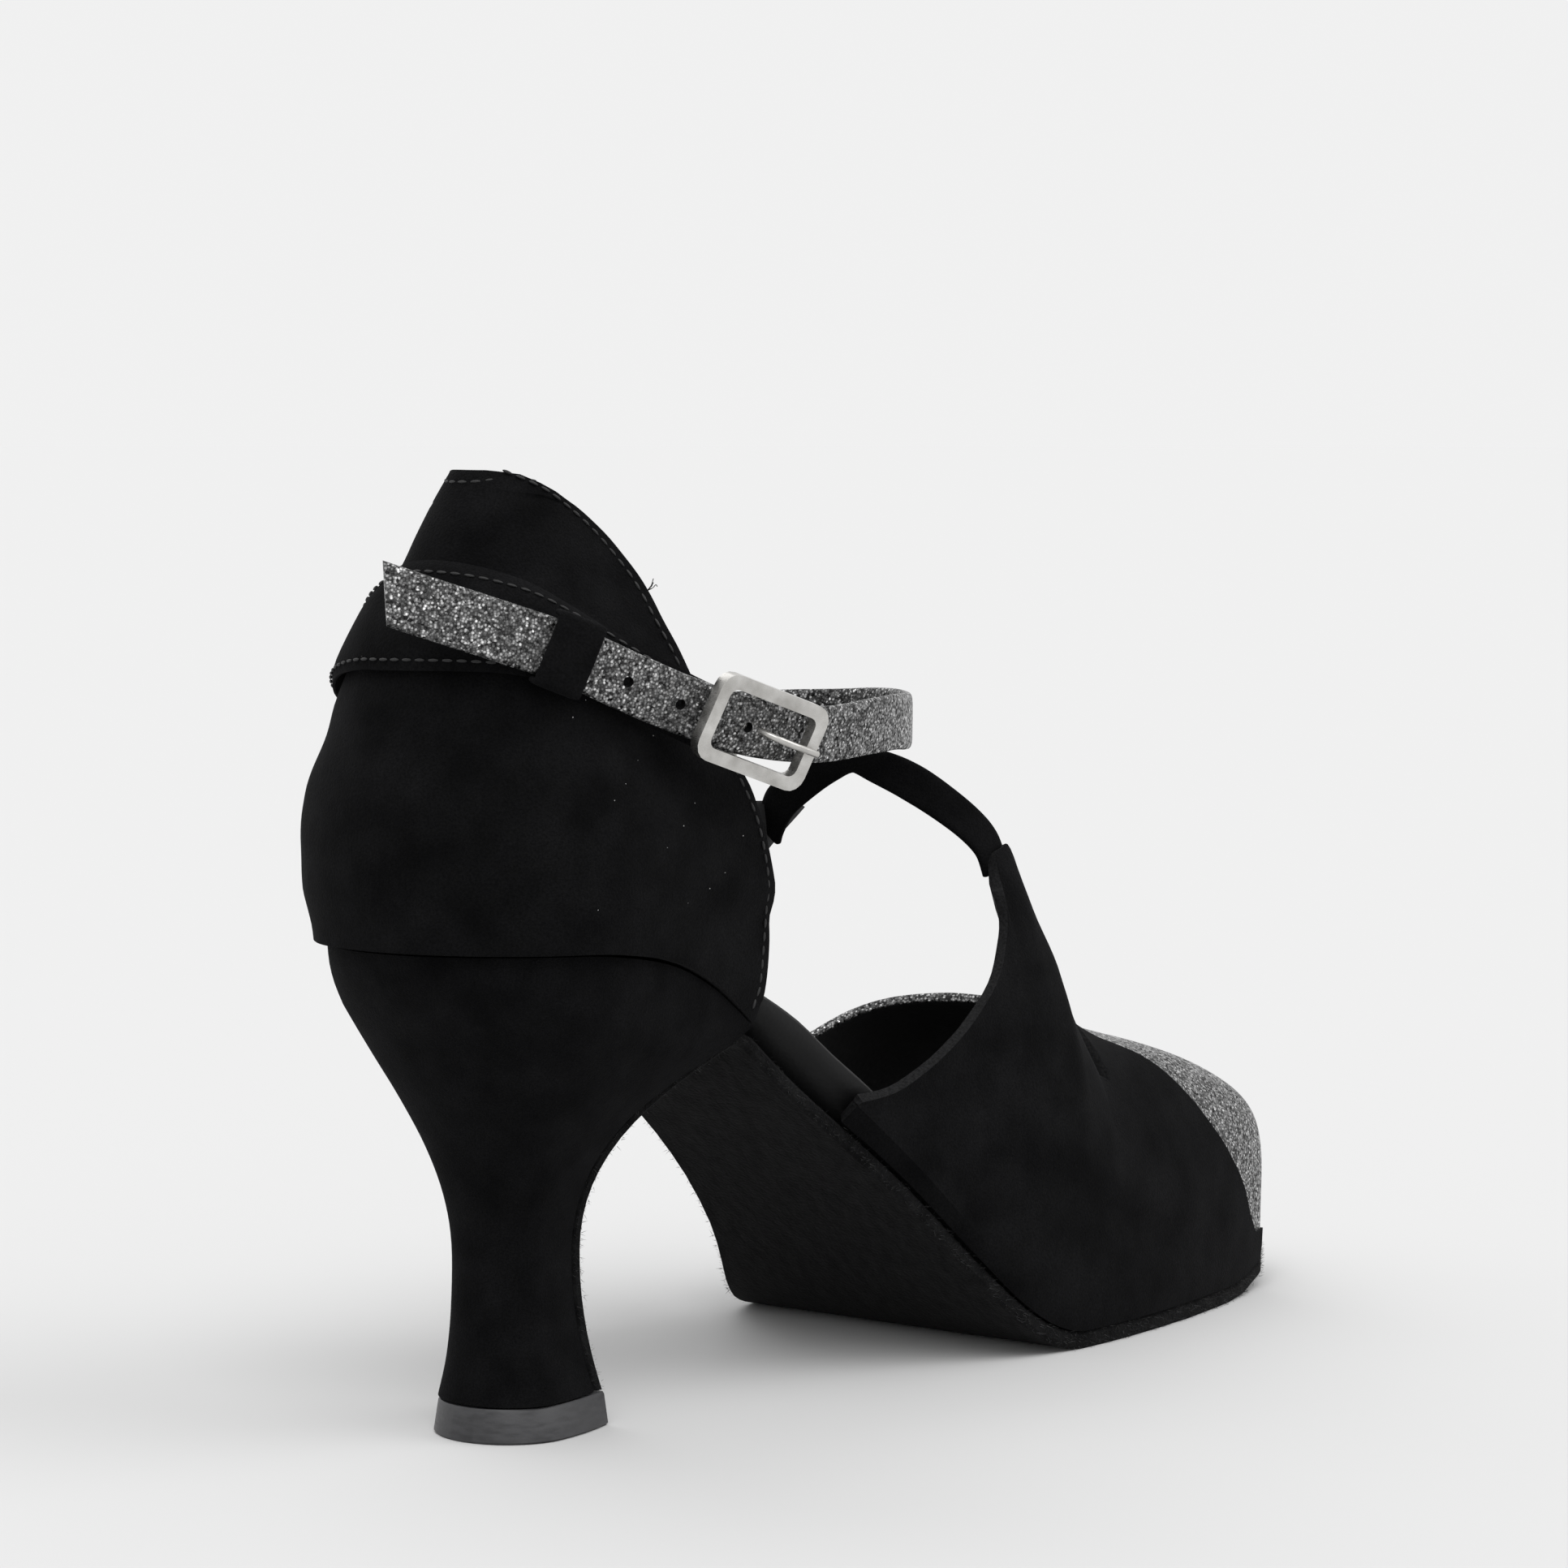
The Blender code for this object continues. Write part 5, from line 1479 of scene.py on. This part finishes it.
def make_keeper():
    place = strap_frame(KEEPER_STATION)
    inner = STRAP_WIDTH / 2 + FIT
    low, high = -STRAP_THICK / 2, STRAP_THICK / 2 + FIT
    half = KEEPER_THICK / 2

    def corner(across, start):
        """Points round a corner of the loop, from a bearing in degrees."""
        turns = (math.radians(start - 15 * k) for k in range(1, 6))
        return [(across + half * math.cos(a), high + half * math.sin(a)) for a in turns]

    path = [(-inner - half, low), (-inner - half, high), *corner(-inner, 180),
            (-inner + KEEPER_CORNER, high + half), (0, high + KEEPER_THICK * KEEPER_CROWN),
            (inner - KEEPER_CORNER, high + half), *corner(inner, 90),
            (inner + half, high), (inner + half, low)]
    rings = []
    points = [Vector((0, y, z)) for y, z in path]
    for i, p in enumerate(points):
        along = (points[min(i + 1, len(points) - 1)] - points[max(i - 1, 0)]).normalized()
        across = Vector((1, 0, 0))
        ring = strap_ring(p, across, along.cross(across).normalized(), KEEPER_WIDTH, KEEPER_THICK)
        rings.append([place @ q for q in ring])
    return closed_loft("keeper", rings, [BLACK_SUEDE], 50)


attach(make_keeper(), "black_suede", "keeper_loop")


# Buckle
def eased_copy(node, name, width, material, angle=40):
    """The fitting with its edges rounded over."""
    source = bpy.data.objects[node]
    mesh = source.data.copy()
    body = bmesh.new()
    body.from_mesh(mesh)
    bmesh.ops.remove_doubles(body, verts=body.verts, dist=0.000002)
    bmesh.ops.dissolve_limit(body, angle_limit=math.radians(2), verts=body.verts, edges=body.edges)
    body.to_mesh(mesh)
    body.free()
    mesh.materials.clear()
    mesh.materials.append(material)
    obj = bpy.data.objects.new(name, mesh)
    bpy.context.scene.collection.objects.link(obj)
    ease = obj.modifiers.new("eased", "BEVEL")
    ease.width = width
    ease.segments = 3
    ease.limit_method = "ANGLE"
    ease.angle_limit = math.radians(angle)
    return settle(obj, 30)


FRAME_EASE = 0.0005
PRONG_EASE = 0.0002
attach(eased_copy("buckle_frame", "nickel_frame", FRAME_EASE, NICKEL), "nickel", "buckle_frame")
attach(eased_copy("buckle_prong", "nickel_prong", PRONG_EASE, NICKEL), "nickel", "buckle_prong")


# Stitching: depth of the band's rows in its surface, their place as a share of its width,
# and the margin from the quarter's edge.
BAND_STITCH_DEPTH = -0.0001
BAND_STITCH_SHARE = 0.40
EDGE_MARGIN = 0.0022
STITCH_LIFT = 0.0001
COLLAR_CENTRE = 0.0025


def band_stitch(share, gap=BAND_STITCH_DEPTH):
    """Stitch row along the band and its tail."""
    row = []
    for station in band_stations():
        angle = math.radians(station.x)
        height = rise(station.y + station.z * share)
        row.append(band_point(angle, height, BAND_GAP + BAND_THICK + gap))
    tail = [Vector(r) for r in zip(*(BAND_TAIL[k] for k in ("x", "y", "middle", "width")))]
    start = Vector((0.0, BAND_TAIL_START * HALF_WIDTH, 0))
    along = (Vector((tail[-1].x * LAST_LENGTH, tail[-1].y * HALF_WIDTH, 0)) - start).normalized()
    away = Vector((along.y, -along.x, 0))
    for r in catmull(tail, 3):
        p = Vector((r.x * LAST_LENGTH, r.y * HALF_WIDTH, rise(r.z + r.w * share)))
        row.append(p + away * (BAND_THICK / 2 + gap))
    return row


def edge_rows(rows):
    """Stitch line just inside the quarter's outer front edge."""
    line = []
    for row in rows[2:]:
        edge, inward = row[0], row[3]
        line.append(edge + (inward - edge).normalized() * EDGE_MARGIN
                    + Vector((0, -STITCH_LIFT, 0)))
    return line


def collar_row(rows):
    """Stitch line just under the collar's edge."""
    top, below = rows[-1], rows[-6]
    line = []
    for a, b in zip(top, below):
        away = Vector((a.x - COLLAR_CENTRE, a.y, 0)).normalized()
        line.append(a + (b - a).normalized() * EDGE_MARGIN + away * STITCH_LIFT)
    return line


stitch_rows("band_stitches",
             [band_stitch(side * BAND_STITCH_SHARE) for side in (-1, 1)])
stitch_rows("quarter_stitches", [edge_rows(quarter_rows), collar_row(quarter_rows)])


# Fibres on the cut edge of the sole
def sole_side_strip():
    """Strips along both cut edges of the sole, for the fibres to grow on."""
    verts, faces = [], []
    for p, n, t in PATH:
        for side, half in ((-1, p.z), (1, p.w)):
            verts.append(Vector((p.x, side * half, p.y)))
            verts.append(Vector((p.x + n.x * t, side * half, p.y + n.y * t)))
    for i in range(len(PATH) - 1):
        a = 4 * i
        faces.append((a, a + 4, a + 5, a + 1))
        faces.append((a + 2, a + 3, a + 7, a + 6))
    return mesh_piece("sole_fibres", verts, faces, [FIBRE])


FIBRE_SIZES = {"density": 2600000.0, "length": 0.0009, "thickness": 0.00004}
attach(run_tree(sole_side_strip(), FIBRES, **FIBRE_SIZES), "sole_suede")


# Loose threads and dust
THREAD_RADIUS = 0.00007


def loose_thread(name, points, radius=THREAD_RADIUS):
    """Round thread along a smooth curve."""
    rings = []
    line = catmull([Vector(p) for p in points], 5)
    for i, p in enumerate(line):
        along = (line[min(i + 1, len(line) - 1)] - line[max(i - 1, 0)]).normalized()
        side = along.orthogonal().normalized()
        other = along.cross(side)
        rings.append([p + (side * math.cos(t) + other * math.sin(t)) * radius
                      for t in (2 * math.pi * k / 8 for k in range(8))])
    return closed_loft(name, rings, [FIBRE], 60)


def on_leather(obj, point):
    """Nearest point of a piece, and its normal."""
    return obj.closest_point_on_mesh(point)[1:3]


def thread_tuft(name, obj, start, ways):
    """Thread ends that stand out of a seam."""
    place, normal = on_leather(obj, Vector(start))
    for k, (dx, dy, dz) in enumerate(ways):
        tip = Vector((dx, dy, dz))
        points = [place - normal * 0.0002, place + normal * 0.0005 + tip * 0.35,
                  place + normal * 0.0006 + tip * 0.7 + Vector((0, 0, 0.0003)),
                  place + normal * 0.0004 + tip]
        attach(loose_thread("%s_%d" % (name, k + 1), points), "black_suede")


thread_tuft("collar_thread", quarter, (0.0155, -0.019, 0.1345),
            [(0.0006, -0.0003, 0.0016), (0.0014, -0.0004, 0.0004), (0.0002, -0.0006, 0.0009)])
thread_tuft("band_thread", band, (-0.0215, 0.004, 0.1215),
            [(-0.0022, 0.0004, 0.0002), (-0.0012, 0.0008, -0.0006)])


DUST_COUNT = 18


def dust_specks():
    """A few specks of pale dust on the outer side."""
    scattered = [(k * 0.618034) % 1 for k in range(1, DUST_COUNT + 1)]
    verts, faces = [], []
    for k, share in enumerate(scattered):
        height = 0.082 + 0.055 * ((k * 0.4142) % 1)
        place, normal = on_leather(quarter, Vector((-0.02 + 0.05 * share, -0.04, height)))
        size = 0.00005 + 0.00006 * ((k * 0.732) % 1)
        base = len(verts)
        side = normal.orthogonal().normalized()
        other = normal.cross(side)
        verts += [place + normal * size * 1.6]
        verts += [place + (side * math.cos(a) + other * math.sin(a)) * size + normal * size * 0.5
                  for a in (2 * math.pi * j / 6 for j in range(6))]
        verts += [place - normal * size * 0.4]
        faces += [(base, base + 1 + j, base + 1 + (j + 1) % 6) for j in range(6)]
        faces += [(base + 7, base + 1 + (j + 1) % 6, base + 1 + j) for j in range(6)]
    return mesh_piece("dust_specks", verts, faces, [DUST])


attach(dust_specks(), "black_suede")


# Stage, light and camera
CAMERA_PLACE = (-0.5590, -0.4975, 0.1580)
CAMERA_BEARING = math.radians(38.32)
CAMERA_PITCH = math.radians(4.23)
CAMERA_LENS = 109.57
FLOOR_SHADE = (0.62, 0.62, 0.62)
FLOOR_REACH = 40.0
BACKDROP = (0.875, 0.875, 0.875)
# Name, direction from the shoe, spread in degrees, strength
SUNS = [
    ("key", (-0.9, -0.7, 1.5), 35, 1.15),
    ("side", (0.7, -1.2, 1.2), 40, 0.65),
    ("back", (0.4, 1.1, 1.3), 45, 0.45),
]


def soft_light(name, place, spread, strength):
    """Broad even light from one direction, the same all over the floor."""
    light = bpy.data.lights.new(name, "SUN")
    light.energy = strength
    light.angle = math.radians(spread)
    obj = bpy.data.objects.new(name, light)
    obj.rotation_euler = (-Vector(place)).to_track_quat("-Z", "Y").to_euler()
    bpy.context.scene.collection.objects.link(obj)


def make_floor():
    """Plain pale floor, so wide that its far edge lies on the horizon."""
    mesh = bpy.data.meshes.new("floor")
    corners = ((-1, -1), (1, -1), (1, 1), (-1, 1))
    mesh.from_pydata([(x * FLOOR_REACH, y * FLOOR_REACH, 0) for x, y in corners], [],
                     [(0, 1, 2, 3)])
    obj = bpy.data.objects.new("floor", mesh)
    bpy.context.scene.collection.objects.link(obj)
    s = Shades("pale_floor", FLOOR_SHADE, 0.9)
    s.shader.inputs["Specular IOR Level"].default_value = 0.0
    obj.data.materials.append(s.material)


make_floor()
world = bpy.data.worlds.new("studio")
world.use_nodes = True
world.node_tree.nodes["Background"].inputs["Color"].default_value = (*BACKDROP, 1)
world.node_tree.nodes["Background"].inputs["Strength"].default_value = 1.0
bpy.context.scene.world = world
for light in SUNS:
    soft_light(*light)

camera = bpy.data.cameras.new("photo_view")
camera.lens = CAMERA_LENS
camera.sensor_width = 36.0
camera.clip_end = 50
view = bpy.data.objects.new("photo_view", camera)
view.location = CAMERA_PLACE
view.rotation_euler = (math.radians(90) - CAMERA_PITCH, 0, CAMERA_BEARING - math.radians(90))
bpy.context.scene.collection.objects.link(view)
bpy.context.scene.camera = view
bpy.context.scene.view_settings.view_transform = "Standard"
